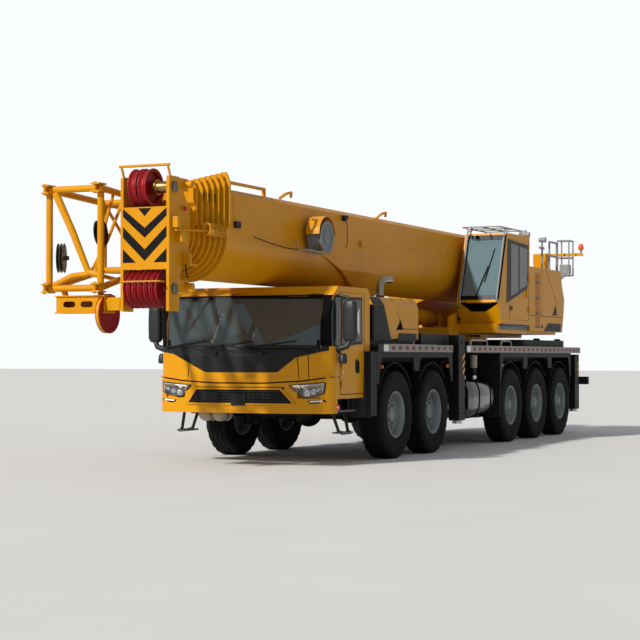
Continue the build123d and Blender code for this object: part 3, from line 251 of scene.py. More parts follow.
def turned(profile, centre, steps=64, ripple=None):
    """A ring turned about an axle along Y. The profile gives (radius, y); ripple(step, place)
    gives what to add to each of them at that step."""
    points, faces = [], []
    count = len(profile)
    for step in range(steps):
        angle = 2 * math.pi * step / steps
        for place, (radius, along) in enumerate(profile):
            more_radius, more_along = ripple(step, place) if ripple else (0.0, 0.0)
            r = radius + more_radius
            points.append((
                centre[0] + r * math.cos(angle), centre[1] + along + more_along, centre[2] + r * math.sin(angle)
            ))
    for step in range(steps):
        here, there = step * count, (step + 1) % steps * count
        for place in range(count - 1):
            faces.append((here + place, here + place + 1, there + place + 1, there + place))
    return points, faces


def skin(rings, capped=True):
    """A shell over rings of corners laid one after another, with or without its two ends."""
    count = len(rings[0])
    points, faces = [point for ring in rings for point in ring], []
    for start in range(0, len(points) - count, count):
        for step in range(count):
            a, b = start + step, start + (step + 1) % count
            faces.append((a, b, b + count, a + count))
    if capped:
        faces += [tuple(range(count)), tuple(range(len(points) - 1, len(points) - 1 - count, -1))]
    return points, faces


def tube(points, radius, sides=16):
    """A bent tube through some points, closed at both ends. It has one ring of corners at each
    point; the radius is one number, or one for each point."""
    route, rings = [Vector(point) for point in points], []
    turns = [2 * math.pi * step / sides for step in range(sides)]
    across = (route[1] - route[0]).orthogonal().normalized()
    for place, centre in enumerate(route):
        before = route[place] - route[place - 1] if place else route[1] - route[0]
        after = route[place + 1] - route[place] if place + 1 < len(route) else before
        along = (before.normalized() + after.normalized()).normalized()
        across = (across - along * across.dot(along)).normalized()
        third = along.cross(across)
        size = radius[place] if isinstance(radius, (list, tuple)) else radius
        rings.append([centre + size * (math.cos(turn) * across + math.sin(turn) * third) for turn in turns])
    return skin(rings)


def rod(start, end, radius, sides=12, end_radius=None):
    """A round bar, or a cone, between two points, closed at both ends."""
    return tube([start, end], (radius, radius if end_radius is None else end_radius), sides)


def rubber(name, base):
    """Vulcanised rubber: dull black, greyer on the tread where the road has scuffed it."""
    finish, tree, shader, place = opened(name)
    scuffs = node(
        tree, "ShaderNodeTexNoise", {"Scale": 22.0, "Detail": 6.0, "Roughness": 0.7},
        {"Vector": place.outputs["Object"]},
    )
    amount = node(
        tree, "ShaderNodeMapRange", {"From Min": 0.42, "From Max": 0.80, "To Max": 0.5},
        {"Value": scuffs.outputs["Fac"]},
    )
    toned = node(
        tree, "ShaderNodeMix", {"data_type": "RGBA", 6: colour(base), 7: colour("#2B2926")},
        {0: amount.outputs["Result"]},
    )
    bump = node(
        tree, "ShaderNodeBump", {"Strength": 0.3, "Distance": 0.002}, {"Height": scuffs.outputs["Fac"]}
    )
    tree.links.new(toned.outputs[2], shader.inputs["Base Color"])
    tree.links.new(bump.outputs["Normal"], shader.inputs["Normal"])
    shader.inputs["Roughness"].default_value = 0.82
    shader.inputs["Specular IOR Level"].default_value = 0.20
    return finish


# tyre rubber: almost no gloss, so the tread shows by its shadows only
tyre_rubber = rubber("vulcanised_tyre_rubber", "#0B0B0C")
# silver disc paint: a fine metallic that catches a soft highlight round the dish
disc_silver = sprayed("silver_disc_paint", "#7C8284", "#B4B8B9", 0.42, dust=0.15, metallic=0.35)
# painted shade: a flat unlit black that swallows the light, put where vent holes, the exhaust's mouth and the
# telescopes' slotted windows are, for the shade inside them, so they look deep
hole_black = sprayed("unlit_black", "#08090A", "#101010", 0.8, dust=0.05)

TYRE_HALF_WIDTH = 0.187
TREAD_RADIUS = 0.670
LUGS, LUG_STEPS = 24, 6
GROOVE_DEPTH, LUG_DEPTH = 0.016, 0.014
RIB_ZIGZAG = (0.007, 0.0035, -0.0035, -0.007, -0.0035, 0.0035)
RIB_GROOVES = (-0.078, 0.0, 0.078)
tread = []  # (radius, y, kind): 1 zigzags with the rib grooves, 2 is a shoulder lug
for y in RIB_GROOVES:
    tread += [(TREAD_RADIUS, y - 0.009, 1), (TREAD_RADIUS - GROOVE_DEPTH, y - 0.004, 1)]
    tread += [(TREAD_RADIUS - GROOVE_DEPTH, y + 0.004, 1), (TREAD_RADIUS, y + 0.009, 1)]
sidewall = [
    (0.340, 0.140, 0), (0.352, 0.158, 0), (0.372, 0.168, 0), (0.378, 0.174, 0), (0.392, 0.175, 0),
    (0.430, 0.180, 0), (0.500, TYRE_HALF_WIDTH, 0), (0.560, 0.186, 0), (0.592, 0.184, 0),
    (0.600, 0.182, 2), (0.640, 0.172, 2), (0.660, 0.162, 2), (0.669, 0.146, 2), (TREAD_RADIUS, 0.104, 2),
]
tyre_profile = [(r, -y, kind) for r, y, kind in sidewall] + tread + sidewall[::-1]


def tread_ripple(step, place):
    """Zigzag for the rib grooves and a cut between two shoulder lugs."""
    kind = tyre_profile[place][2]
    if kind == 1:
        return 0.0, RIB_ZIGZAG[step % LUG_STEPS]
    if kind == 2 and step % LUG_STEPS in (0, 1):
        return -LUG_DEPTH, 0.0
    return 0.0, 0.0


STEER_DISC = [
    (0.0, 0.104), (0.070, 0.104), (0.082, 0.098), (0.112, 0.096), (0.118, 0.060), (0.150, 0.052),
    (0.205, 0.052), (0.222, 0.040), (0.262, 0.030), (0.288, 0.052), (0.302, 0.100), (0.316, 0.140),
    (0.326, 0.150), (0.352, 0.153), (0.358, 0.160), (0.352, 0.167), (0.338, 0.166), (0.330, 0.158),
]
DRIVE_DISC = [
    (0.0, 0.150), (0.052, 0.149), (0.060, 0.143), (0.088, 0.138), (0.104, 0.128), (0.118, 0.104),
    (0.136, 0.092), (0.142, 0.054), (0.160, 0.046), (0.205, 0.046), (0.222, 0.034), (0.262, 0.026),
    (0.288, 0.052), (0.302, 0.100), (0.316, 0.140), (0.326, 0.150), (0.352, 0.153), (0.358, 0.160),
    (0.352, 0.167), (0.338, 0.166), (0.330, 0.158),
]
DISC_BACK = [(0.330, -0.158), (0.358, -0.160), (0.352, -0.150), (0.300, -0.100), (0.300, 0.0), (0.0, 0.0)]
WHEEL_NUTS, NUT_CIRCLE, VENT_CIRCLE = 10, 0.1675, 0.243
NUT_FOOT, NUT_HEIGHT, STUD_END, VENT_FOOT, VENT_DEPTH = 0.044, 0.034, 0.046, 0.026, 0.012
HUB_BOLTS, HUB_BOLT_CIRCLE = 12, 0.098
for axle in range(1, 6):
    for side, _, sign in SIDES:
        body = f"wheel_{axle}_{side}"
        low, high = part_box(body)
        hub = (low + high) / 2
        out = Vector((0, sign, 0))
        tyre = turned([(r, y) for r, y, kind in tyre_profile], hub, LUGS * LUG_STEPS, tread_ripple)
        piece(f"{body}_tyre", [(tyre_rubber, [tyre])], body, stands_for=[body])
        face = STEER_DISC if axle <= 2 else DRIVE_DISC
        rim = turned([(r, sign * y) for r, y in face + DISC_BACK], hub, 72)
        nuts, vents = [], []
        for turn in range(WHEEL_NUTS):
            angle = 2 * math.pi * (turn + 0.5) / WHEEL_NUTS
            across = Vector((math.cos(angle), 0, math.sin(angle)))
            base = hub + NUT_CIRCLE * across + NUT_FOOT * out
            nuts.append(rod(base, base + NUT_HEIGHT * out, 0.018, 6))
            nuts.append(rod(base + NUT_HEIGHT * out, base + STUD_END * out, 0.010, 8))
            middle = hub + VENT_CIRCLE * across + VENT_FOOT * out
            # painted shade: each vent hole is a black disc for the shade inside it
            vents.append(rod(middle, middle + VENT_DEPTH * out, 0.021, 14))
        if axle > 2:
            for turn in range(HUB_BOLTS):
                angle = 2 * math.pi * turn / HUB_BOLTS
                base = hub + HUB_BOLT_CIRCLE * Vector((math.cos(angle), 0, math.sin(angle))) + 0.126 * out
                nuts.append(rod(base, base + 0.014 * out, 0.008, 6))
        piece(f"{body}_disc", [(disc_silver, [rim] + nuts), (hole_black, vents)], body)


# ---- Carrier cab: shell, front panels, seams and the black cowl under the windscreen
# Pressed and spot-welded steel sprayed in machine yellow, with a ribbed black plastic cowl and
# rubber joints between the panels. Each joint is a black rubber strip pressed in nearly flush.
ACROSS = {"x": (0, 1, 2), "y": (1, 0, 2), "z": (2, 0, 1)}
OUTSIDE = 20.0  # well clear of the machine, where the search for a surface starts
met_surfaces = {}


def laid_on(facing, names, outlines, proud=0.004, sunk=0.004, step=0.12, at_height=None):
    """A plate pressed onto CAD surfaces. The outlines are in the two axes across `facing`, such as
    "+x", and the plate stands `proud` of the first surface met from that side. A plate that spans
    a recess takes its depth from the surface at another height."""
    sign = 1 if facing[0] == "+" else -1
    deep, wide, high = ACROSS[facing[1]]
    if names not in met_surfaces:
        points, faces = [], []
        for name in names:
            data = frame["nodes"][name].data
            faces += [[len(points) + place for place in polygon.vertices] for polygon in data.polygons]
            points += [corner.co.copy() for corner in data.vertices]
        met_surfaces[names] = BVHTree.FromPolygons(points, faces)
    shape = bmesh.new()
    for outline in outlines:
        corners = []
        for a, b in outline:
            point = Vector((0, 0, 0))
            point[wide], point[high] = a, b
            corners.append(shape.verts.new(point))
        shape.faces.new(corners)
    bmesh.ops.triangulate(shape, faces=shape.faces[:])
    for axis in (wide, high):
        values = [corner.co[axis] for corner in shape.verts]
        cut, end = math.ceil(min(values) / step + 0.01) * step, max(values)
        while cut < end - 0.001:
            where, normal = Vector((0, 0, 0)), Vector((0, 0, 0))
            where[axis], normal[axis] = cut, 1.0
            bmesh.ops.bisect_plane(
                shape, geom=shape.verts[:] + shape.edges[:] + shape.faces[:], plane_co=where, plane_no=normal
            )
            cut += step
    towards = Vector((0, 0, 0))
    towards[deep] = -sign
    depths = []
    for corner in shape.verts:
        start = corner.co.copy()
        start[deep] = OUTSIDE * sign
        if at_height is not None:
            start[high] = at_height
        hit = met_surfaces[names].ray_cast(start, towards)[0]
        depths.append(None if hit is None else hit[deep])
    found = sorted(depth for depth in depths if depth is not None)
    usual = found[len(found) // 2] if found else 0.0
    points, faces, count = [], [], len(shape.verts)
    shape.verts.index_update()
    for layer in (proud, -sunk):
        for corner, depth in zip(shape.verts, depths):
            point = corner.co.copy()
            point[deep] = (usual if depth is None else depth) + sign * layer
            points.append(point)
    for face in shape.faces:
        ring = [corner.index for corner in face.verts]
        faces.append(ring)
        faces.append([place + count for place in reversed(ring)])
    for edge in shape.edges:
        if edge.is_boundary:
            a, b = (corner.index for corner in edge.verts)
            faces.append([a, b, b + count, a + count])
    shape.free()
    return points, faces


def strips(points, width):
    """The outlines of a line of that width through some points."""
    quads = []
    for (a, b), (c, d) in zip(points, points[1:]):
        length = math.hypot(c - a, d - b)
        e, f = (b - d) / length * width / 2, (c - a) / length * width / 2
        quads.append([(a + e, b + f), (a - e, b - f), (c - e, d - f), (c + e, d + f)])
    return quads


def disc_outline(a, b, radius, corners=18):
    """The outline of a round plate."""
    turns = [2 * math.pi * corner / corners for corner in range(corners)]
    return [(a + radius * math.cos(turn), b + radius * math.sin(turn)) for turn in turns]


def on_side(outline, sign):
    """An outline of the left side, put on the side that the sign gives."""
    return [(sign * a, b) for a, b in outline]


def rectangle(a_low, b_low, a_high, b_high):
    """The outline of a rectangular plate."""
    return [(a_low, b_low), (a_high, b_low), (a_high, b_high), (a_low, b_high)]


# machine enamel: a deep warm yellow under a thin clear coat, which gives it a soft broad highlight
machine_yellow = sprayed(
    "machine_yellow_enamel", "#CF8F05", "#DFAE54", 0.36, dust=0.03, drift=0.05, coat=0.07, gloss=0.18,
)
# black ABS: moulded, faintly grained, so its highlights are broad and grey
black_plastic = sprayed("grained_black_plastic", "#111214", "#2E2F31", 0.50, dust=0.08, drift=0.05, gloss=0.30)
# rubber joint: no highlight at all, so a seam reads as a line
joint_rubber = sprayed("joint_rubber", "#080809", "#141414", 0.85, dust=0.04, gloss=0.1)
dress(machine_yellow, "carrier_cab", "front_bumper", "cab_door_left", "cab_door_right", "engine_hood")

CAB, CAB_SHELL = ("carrier_cab", "front_bumper"), ("carrier_cab",)
COWL = [
    (-1.34, 1.625), (-0.80, 1.56), (-0.55, 1.33), (0.60, 1.33), (0.88, 1.54), (1.34, 1.64), (1.34, 1.70),
    (-1.34, 1.70),
]
COWL_TOP = [(-1.34, 1.625), (-0.80, 1.565), (0.88, 1.545), (1.34, 1.64), (1.34, 1.715), (-1.34, 1.715)]
RIB_PITCH = 0.018
cowl_ribs = []
for row in range(11):
    z = 1.37 + row * RIB_PITCH
    half = 0.50 + (z - 1.33) * 0.9
    cowl_ribs.append(laid_on("+x", CAB, strips([(-half + 0.03, z), (half + 0.03, z)], 0.006), 0.012))
piece(
    "cab_cowl_panel",
    [(black_plastic, [laid_on("+x", CAB + ("cab_glass",), outline, 0.009, 0.004, step)
                      for outline, step in (([COWL], 0.12), ([COWL_TOP], 0.03))] + cowl_ribs)],
    "chassis",
)

SEAM = 0.011
front_seams = [
    [(-1.39, 1.262), (-0.95, 1.205), (-0.4, 1.175), (0.4, 1.175), (0.95, 1.205), (1.39, 1.262)],
    [(0.90, 1.56), (0.93, 1.22)], [(-0.82, 1.56), (-0.86, 1.22)], [(1.06, 1.60), (1.07, 1.23)],
]
side_seams = [
    [(4.585, 1.02), (4.590, 1.66), (4.60, 2.10), (4.575, 2.47)], [(4.585, 1.012), (3.715, 1.012)],
    [(3.715, 1.012), (3.705, 2.48)], [(4.86, 1.262), (4.60, 1.262)],
]
roof_seams = [[(5.0, 0.62), (3.6, 0.62)], [(5.0, -0.62), (3.6, -0.62)], [(3.95, -1.3), (3.95, 1.3)]]
seams = [laid_on("+x", CAB, strips(line, SEAM), 0.0015) for line in front_seams]
seams.append(laid_on("+x", CAB, strips(front_seams[0], SEAM * 1.7), 0.002, 0.004, 0.05))
seams += [laid_on(facing, CAB_SHELL, strips(line, SEAM), 0.0015) for line in side_seams for facing in ("+y", "-y")]
seams += [laid_on("+z", CAB, strips(line, SEAM * 0.8), 0.0015) for line in roof_seams]
piece("cab_panel_joints", [(joint_rubber, seams)], "chassis")


# ---- Cab glazing: windscreen and side windows with their black printed borders
# Laminated green-tinted glass bonded into the shell. A black ceramic band printed round its edge
# hides the adhesive, and black rubber covers the cab's corners, so each window has a dark frame.
def tinted_glass(name, tint, roughness=0.03, clearness=0.55):
    """Tinted safety glass: it mirrors the sky and lets a darkened cab show through."""
    finish, tree, shader, place = opened(name)
    film = node(
        tree, "ShaderNodeTexNoise", {"Scale": 3.0, "Detail": 5.0}, {"Vector": place.outputs["Object"]}
    )
    haze = node(
        tree, "ShaderNodeMapRange",
        {"From Min": 0.35, "From Max": 0.75, "To Min": roughness, "To Max": roughness + 0.06},
        {"Value": film.outputs["Fac"]},
    )
    tone = node(
        tree, "ShaderNodeMix", {"data_type": "RGBA", 6: colour(tint), 7: colour("#4A5552")},
        {0: haze.outputs["Result"]},
    )
    tree.links.new(tone.outputs[2], shader.inputs["Base Color"])
    tree.links.new(haze.outputs["Result"], shader.inputs["Roughness"])
    shader.inputs["IOR"].default_value = 1.52
    shader.inputs["Transmission Weight"].default_value = clearness
    shader.inputs["Coat Weight"].default_value = 0.6
    shader.inputs["Coat Roughness"].default_value = 0.02
    return finish


# green-tinted glass: the sky lies on it as a pale sheet over a dim cab
cab_glass_finish = tinted_glass("green_tinted_glass", "#56666A")
# ceramic print: black with a faint gloss, so a window's edge is crisp and dark
ceramic_black = sprayed("printed_ceramic_black", "#07080A", "#101112", 0.30, dust=0.03, drift=0.03, gloss=0.15)
dress(cab_glass_finish, "cab_glass", "operator_glass")
GLAZING = ("cab_glass", "carrier_cab")
BAND = 0.075
windscreen_band = [
    strips([(-1.20, 2.41), (0.0, 2.43), (1.20, 2.41)], BAND),
    strips([(1.225, 1.66), (1.19, 2.42)], BAND), strips([(-1.225, 1.66), (-1.19, 2.42)], BAND),
]
# dark glass: almost black, and a little dulled, so the side windows stay quiet
pillar_glass = tinted_glass("dark_quarter_glass", "#10171A", 0.14, 0.0)
corner_bands = []
for side in (1, -1):
    front_edge = rectangle(side * 1.225, 1.70, side * 1.380, 2.43)
    corner_bands.append(laid_on("+x", CAB_SHELL, [front_edge], 0.010, 0.002, 0.020))
quarter = [(4.600, 1.70), (4.905, 1.70), (4.885, 2.00), (4.82, 2.28), (4.775, 2.43), (4.600, 2.43)]
pillars = [laid_on(facing, CAB_SHELL, [quarter], 0.005, 0.002, 0.025) for facing in ("+y", "-y")]
piece(
    "windscreen_border",
    [
        (ceramic_black, [laid_on("+x", GLAZING, windscreen_band[0], 0.002, 0.001)]
         + [laid_on("+x", GLAZING, outlines, 0.008, 0.004, 10.0) for outlines in windscreen_band[1:]]),
        (joint_rubber, corner_bands),
        (pillar_glass, pillars),
    ],
    "chassis",
)


# ---- Windscreen wipers
# Three pressed-steel arms, powder-coated black, on spindles in the cowl. Each holds a blade
# with a rubber lip, parked low on the glass.
WIPER_SPINDLES = ((-0.37, 1.60), (0.38, 1.60), (1.06, 1.60))
WIPER_REACH = (-0.55, 0.13)
wiper_parts = []


def on_front(y, z, proud):
    """A point in front of the cab's face."""
    start = Vector((OUTSIDE, y, z))
    hit = met_surfaces[GLAZING].ray_cast(start, Vector((-1.0, 0.0, 0.0)))[0]
    return Vector((hit.x + proud, y, z))


for y, z in WIPER_SPINDLES:
    spindle = on_front(y, z, 0.02)
    tip = on_front(y + WIPER_REACH[0], z + WIPER_REACH[1], 0.045)
    wiper_parts += [
        rod(spindle - Vector((0.03, 0, 0)), spindle + Vector((0.03, 0, 0)), 0.026, 16),
        rod(spindle + Vector((0.02, 0, 0)), tip, 0.013, 8, 0.008),
    ]
    blade_ends = [on_front(tip.y + reach, tip.z + reach * 0.12, 0.022) for reach in (-0.32, 0.38)]
    wiper_parts.append(rod(blade_ends[0], blade_ends[1], 0.011, 6))
    wiper_parts.append(rod(tip, (blade_ends[0] + blade_ends[1]) / 2, 0.012, 8))
piece("windscreen_wipers", [(black_plastic, wiper_parts)], "chassis")


# ---- Front grille, headlamps and fog lamps
# A black moulded grille of long bars and slats in a yellow surround, a blank box for a plate, and
# clear polycarbonate lamps with chromed reflectors over a black housing.
def chromed(name, base, roughness):
    """Bright metal: it mirrors the floor and the sky in a thin band of dark and light."""
    finish, tree, shader, place = opened(name)
    smears = node(
        tree, "ShaderNodeTexNoise", {"Scale": 9.0, "Detail": 5.0}, {"Vector": place.outputs["Object"]}
    )
    rough = node(
        tree, "ShaderNodeMapRange",
        {"From Min": 0.3, "From Max": 0.7, "To Min": roughness * 0.7, "To Max": roughness * 1.5},
        {"Value": smears.outputs["Fac"]},
    )
    toned = node(
        tree, "ShaderNodeMix", {"data_type": "RGBA", 6: colour(base), 7: colour("#8C8A84")},
        {0: rough.outputs["Result"]},
    )
    tree.links.new(rough.outputs["Result"], shader.inputs["Roughness"])
    tree.links.new(toned.outputs[2], shader.inputs["Base Color"])
    shader.inputs["Metallic"].default_value = 1.0
    return finish


# chrome: bright and nearly mirror-like, so lamps and mirrors sparkle
chrome = chromed("chrome_plate", "#D9DADB", 0.10)
# clear polycarbonate: seen only by the highlight on its face
clear_lens = tinted_glass("clear_polycarbonate", "#F2F5F6", 0.02, 0.97)
# white diffuser: an even white that reads as a lamp that could be lit
lamp_white = sprayed("lamp_white_diffuser", "#F1F2EE", "#FFFFFF", 0.35, dust=0.02, drift=0.02)
GRILLE = [(-0.70, 1.095), (0.66, 1.095), (0.87, 0.875), (-0.86, 0.875)]
BUMPER_LIP = 0.865  # the bumper runs unbroken across the machine at this height
BAR_PITCH = 0.078


def on_bumper(outlines, proud, sunk=0.004):
    """A plate on the front that spans the recess of the grille."""
    return laid_on("+x", CAB, outlines, proud, sunk, at_height=BUMPER_LIP)


grille_bars = []
for z in (0.92, 0.965, 1.01, 1.055):
    reach = 0.68 + (1.095 - z) * 0.75
    grille_bars.append(on_bumper(strips([(-reach, z), (reach, z)], 0.014), 0.008))
for bar in range(-9, 10):
    y = bar * BAR_PITCH
    grille_bars.append(on_bumper(strips([(y, 0.895), (y, 1.075)], 0.008), 0.005))
plate_box = on_bumper([rectangle(-0.11, 0.855, 0.12, 1.03)], 0.025)
blank_plate = on_bumper([rectangle(-0.60, 0.90, -0.32, 1.04)], 0.016)
piece(
    "front_grille",
    [
        (ceramic_black, [on_bumper([GRILLE], 0.002, 0.03)]),
        (black_plastic, grille_bars + [plate_box, blank_plate]),
        (machine_yellow, [on_bumper(strips(GRILLE + GRILLE[:1], 0.026), 0.020, 0.02)]),
    ],
    "chassis", rounding=0.003,
)
HEADLAMP = [(0.79, 1.140), (1.31, 1.185), (1.29, 1.04), (1.24, 1.02), (1.00, 0.965)]
LAMP_REFLECTORS = ((1.03, 1.035, 0.045), (1.13, 1.055, 0.040), (1.22, 1.085, 0.036))
DAY_STRIP, DAY_HOOK = [(0.84, 1.127), (1.29, 1.166)], [(1.285, 1.160), (1.27, 1.06)]
FOG_LAMP, FOG_LIGHT = [(1.05, 0.925), (1.30, 0.945), (1.32, 0.905), (1.10, 0.885)], [(1.09, 0.914), (1.27, 0.927)]
for side, _, sign in SIDES:
    shaped = on_side(HEADLAMP, sign)
    rings, bulbs = [], []
    for y, z, radius in LAMP_REFLECTORS:
        rings.append(laid_on("+x", CAB, [disc_outline(sign * y, z, radius)], 0.012))
        bulbs.append(laid_on("+x", CAB, [disc_outline(sign * y, z, 0.55 * radius)], 0.020))
    day_lights = [
        laid_on("+x", CAB, strips(on_side(line, sign), width), 0.014)
        for line, width in ((DAY_STRIP, 0.014), (DAY_HOOK, 0.010))
    ]
    piece(
        f"headlamp_{side}",
        [
            (ceramic_black, [laid_on("+x", CAB, [shaped], 0.006)]),
            (chrome, rings),
            (lamp_white, bulbs + day_lights),
            (black_plastic, [laid_on("+x", CAB, strips(shaped + shaped[:1], 0.014), 0.020)]),
        ],
        "chassis", rounding=0.0015,
    )
    piece(
        f"headlamp_lens_{side}", [(clear_lens, [laid_on("+x", CAB, [shaped], 0.026, -0.022)])],
        "chassis",
    )
    piece(
        f"fog_lamp_{side}",
        [(ceramic_black, [laid_on("+x", CAB, [on_side(FOG_LAMP, sign)], 0.006)]),
         (lamp_white, [laid_on("+x", CAB, strips(on_side(FOG_LIGHT, sign), 0.018), 0.011)])],
        "chassis",
    )


# ---- Cab doors: handles, locks and the rubber round their windows
# Each door is a pressed shell with a bonded window. The handle is a moulded black pull in a
# recessed cup; a chromed lock barrel sits ahead of it.
DOORS = ("cab_door_left", "cab_door_right", "carrier_cab")
DOOR_WINDOW = [(3.775, 1.745), (4.575, 1.685), (4.56, 2.41), (3.79, 2.42)]
DOOR_PANE = [(3.815, 1.785), (4.54, 1.73), (4.525, 2.37), (3.83, 2.38)]
DOOR_BELT = 1.60  # the door's skin is unbroken at this height, under its window
HANDLE_CUP = [(3.90, 1.31), (4.02, 1.31), (4.05, 1.36), (4.045, 1.50), (3.99, 1.52), (3.91, 1.49)]
HANDLE_PULL = [(3.935, 1.34), (3.965, 1.34), (3.975, 1.48), (3.945, 1.48)]
for side, facing, _ in SIDES:
    piece(
        f"cab_door_trim_{side}",
        [
            (ceramic_black, [laid_on(facing, DOORS, [DOOR_WINDOW], 0.003, at_height=DOOR_BELT)]),
            (pillar_glass, [laid_on(facing, DOORS, [DOOR_PANE], 0.007, at_height=DOOR_BELT)]),
            (black_plastic, [
                laid_on(facing, DOORS, [HANDLE_CUP], 0.005), laid_on(facing, DOORS, [HANDLE_PULL], 0.026),
            ]),
            (chrome, [laid_on(facing, DOORS, [disc_outline(4.49, 1.33, 0.020)], 0.008)]),
        ],
        f"cab_door_{side}", rounding=0.002,
    )


# ---- Mirrors
# Two tall housings of black ABS on bent steel arms, a chromed glass in the back of each and a
# plain white reflector down its outer corner. A small kerb mirror sits below, on the cab's corner.

# white film: flat and bright, so the marker stands out from the shell
white_reflector = sprayed("white_reflective_film", "#E4E6E8", "#FFFFFF", 0.30, dust=0.02, drift=0.02)
# moulded ABS: dark grey with a broad soft highlight down its rounded side
housing_grey = sprayed("moulded_mirror_housing", "#232527", "#3C3E40", 0.40, dust=0.05, drift=0.04)


BOX_FACES = [(0, 1, 2, 3), (7, 6, 5, 4), (0, 4, 5, 1), (1, 5, 6, 2), (2, 6, 7, 3), (3, 7, 4, 0)]


def box(x_span, y_span, z_span, sign=1):
    """A straight box between two places along each axis; a sign of -1 puts it on the right side."""
    base = rectangle(x_span[0], sign * y_span[0], x_span[1], sign * y_span[1])
    return [(x, y, z) for z in z_span for x, y in base], BOX_FACES


def to_side(points, sign):
    """Points of the left side, put on the side that the sign gives."""
    return [(x, sign * y, z) for x, y, z in points]


def rounded(corners, power):
    """The corners of a rounded square that reaches 1 each way; a lower power makes it squarer."""
    turns = [2 * math.pi * corner / corners for corner in range(corners)]
    return [
        [math.copysign(abs(reach) ** power, reach) for reach in (math.cos(turn), math.sin(turn))] for turn in turns
    ]


MIRROR_X, MIRROR_Y = (4.590, 4.745), (1.475, 1.690)  # ahead of the door's swing
MIRROR_LEVELS = (  # height, and how much of the full section the shell fills there
    (1.765, 0.55), (1.785, 0.80), (1.830, 0.97), (1.95, 1.0), (2.08, 1.0), (2.22, 0.97), (2.300, 0.90),
    (2.335, 0.75), (2.350, 0.50),
)
MIRROR_SECTION = rounded(20, 0.6)
LOWER_ARM = ((4.70, 1.35, 1.66), (4.71, 1.44, 1.67), (4.69, 1.54, 1.70), (4.668, 1.585, 1.78))
UPPER_ARM = ((4.66, 1.33, 2.41), (4.66, 1.43, 2.42), (4.665, 1.53, 2.40), (4.665, 1.57, 2.34))
KERB_MIRROR = ((4.67, 1.47, 1.450), (4.67, 1.47, 1.475), (4.665, 1.465, 1.56), (4.665, 1.46, 1.595))
middle_x, middle_y = sum(MIRROR_X) / 2, sum(MIRROR_Y) / 2
half_x, half_y = (MIRROR_X[1] - MIRROR_X[0]) / 2, (MIRROR_Y[1] - MIRROR_Y[0]) / 2
for side, _, sign in SIDES:
    shell = skin([
        [(middle_x + half_x * fill * a, sign * (middle_y + half_y * fill * b), z) for a, b in MIRROR_SECTION]
        for z, fill in MIRROR_LEVELS
    ])
    film_points = [
        (x, sign * y, z) for y in (1.6905, 1.6945)
        for x, z in ((4.605, 1.85), (4.672, 1.92), (4.672, 2.16), (4.605, 2.25))
    ]
    lower_arm = tube(to_side(LOWER_ARM, sign), (0.045, 0.045, 0.042, 0.038), 14)
    upper_arm = tube(to_side(UPPER_ARM, sign), 0.022, 12)
    kerb_shell = tube(to_side(KERB_MIRROR, sign), (0.045, 0.062, 0.060, 0.040), 14)
    kerb_arm = rod((4.69, sign * 1.37, 1.64), (4.67, sign * 1.455, 1.58), 0.016)
    piece(
        f"cab_mirror_{side}",
        [
            (housing_grey, [shell, lower_arm, upper_arm, kerb_shell, kerb_arm]),
            (chrome, [box((MIRROR_X[0] - 0.004, MIRROR_X[0] + 0.004), (1.50, 1.665), (1.83, 2.28), sign)]),
            (white_reflector, [(film_points, BOX_FACES)]),
        ],
        "chassis", rounding=0.004, stands_for=["cab_mirrors"],
    )


# ---- Cab steps, marker lamps and the mudguards ahead of the first axle
# Folded steel treads on bent stirrups, hung under the cab; the mudguards are rotationally
# moulded polyethylene, rounded at the front so that mud slides off.

# galvanised plate: a dull metal grey that sets the treads off from the black frame
step_grey = sprayed("galvanised_step_plate", "#6E7072", "#B4B6B8", 0.45, dust=0.15, metallic=0.6)
# amber lens: saturated orange with a glossy highlight, small and warm
amber_lens = sprayed("amber_lens", "#D8500A", "#FF9A40", 0.25, dust=0.04, coat=0.5)
# moulded polyethylene: blue-black and waxy, so its rounded edge catches the sky
moulded_black = sprayed("moulded_polyethylene", "#10151C", "#262B33", 0.45, dust=0.10, drift=0.05, gloss=0.25)
TREAD_BARS, TREAD_PITCH = 4, 0.050
STIRRUP = (
    (4.02, 1.20, 0.77), (4.07, 1.28, 0.48), (4.09, 1.33, 0.45), (4.38, 1.33, 0.45), (4.40, 1.28, 0.48),
    (4.46, 1.20, 0.77),
)
GUARD_STEPS, GUARD_WALL = 12, 0.014
GUARD_TURNS = [math.pi * step / GUARD_STEPS for step in range(GUARD_STEPS + 1)]
GUARD_LEVELS = ((3.500, 3.780, 0.66), (3.520, 3.770, 0.95), (3.540, 3.750, 1.25), (3.550, 3.730, 1.50))
for side, _, sign in SIDES:
    treads, hangers = [], []
    for x_low, x_high, z in ((3.95, 4.56, 0.770), (4.05, 4.42, 0.455)):
        for row in range(TREAD_BARS):
            y = sign * (1.20 + row * TREAD_PITCH)
            treads.append(rod((x_low, y, z), (x_high, y, z), 0.014, 8))
    for x in (4.02, 4.50):
        hangers.append(rod((x, sign * 1.27, 0.76), (x, sign * 1.27, 0.98), 0.022, 8))
    hangers.append(tube(to_side(STIRRUP, sign), 0.024, 10))
    marker = rod((4.72, sign * 1.36, 0.83), (4.72, sign * 1.425, 0.83), 0.042, 16, 0.036)
    rings = []
    for back, front, z in GUARD_LEVELS:
        middle, half = (front + back) / 2, (front - back) / 2
        outer, inner = [[
            (middle + (half - inset) * math.cos(turn), sign * (1.20 + (0.245 - inset) * math.sin(turn) ** 0.45), z)
            for turn in GUARD_TURNS
        ] for inset in (0.0, GUARD_WALL)]
        rings.append(outer + inner[::-1])
    guard_points, guard_faces = skin(rings, capped=False)
    around = len(rings[0])
    for start in (0, len(guard_points) - around):
        last = start + around - 1
        guard_faces += [(start + k, start + k + 1, last - k - 1, last - k) for k in range(GUARD_STEPS)]
    piece(
        f"cab_steps_{side}",
        [
            (step_grey, treads), (black_plastic, hangers), (amber_lens, [marker]),
            (moulded_black, [(guard_points, guard_faces)]),
        ],
        "chassis", rounding=0.003, stands_for=["cab_steps"],
    )


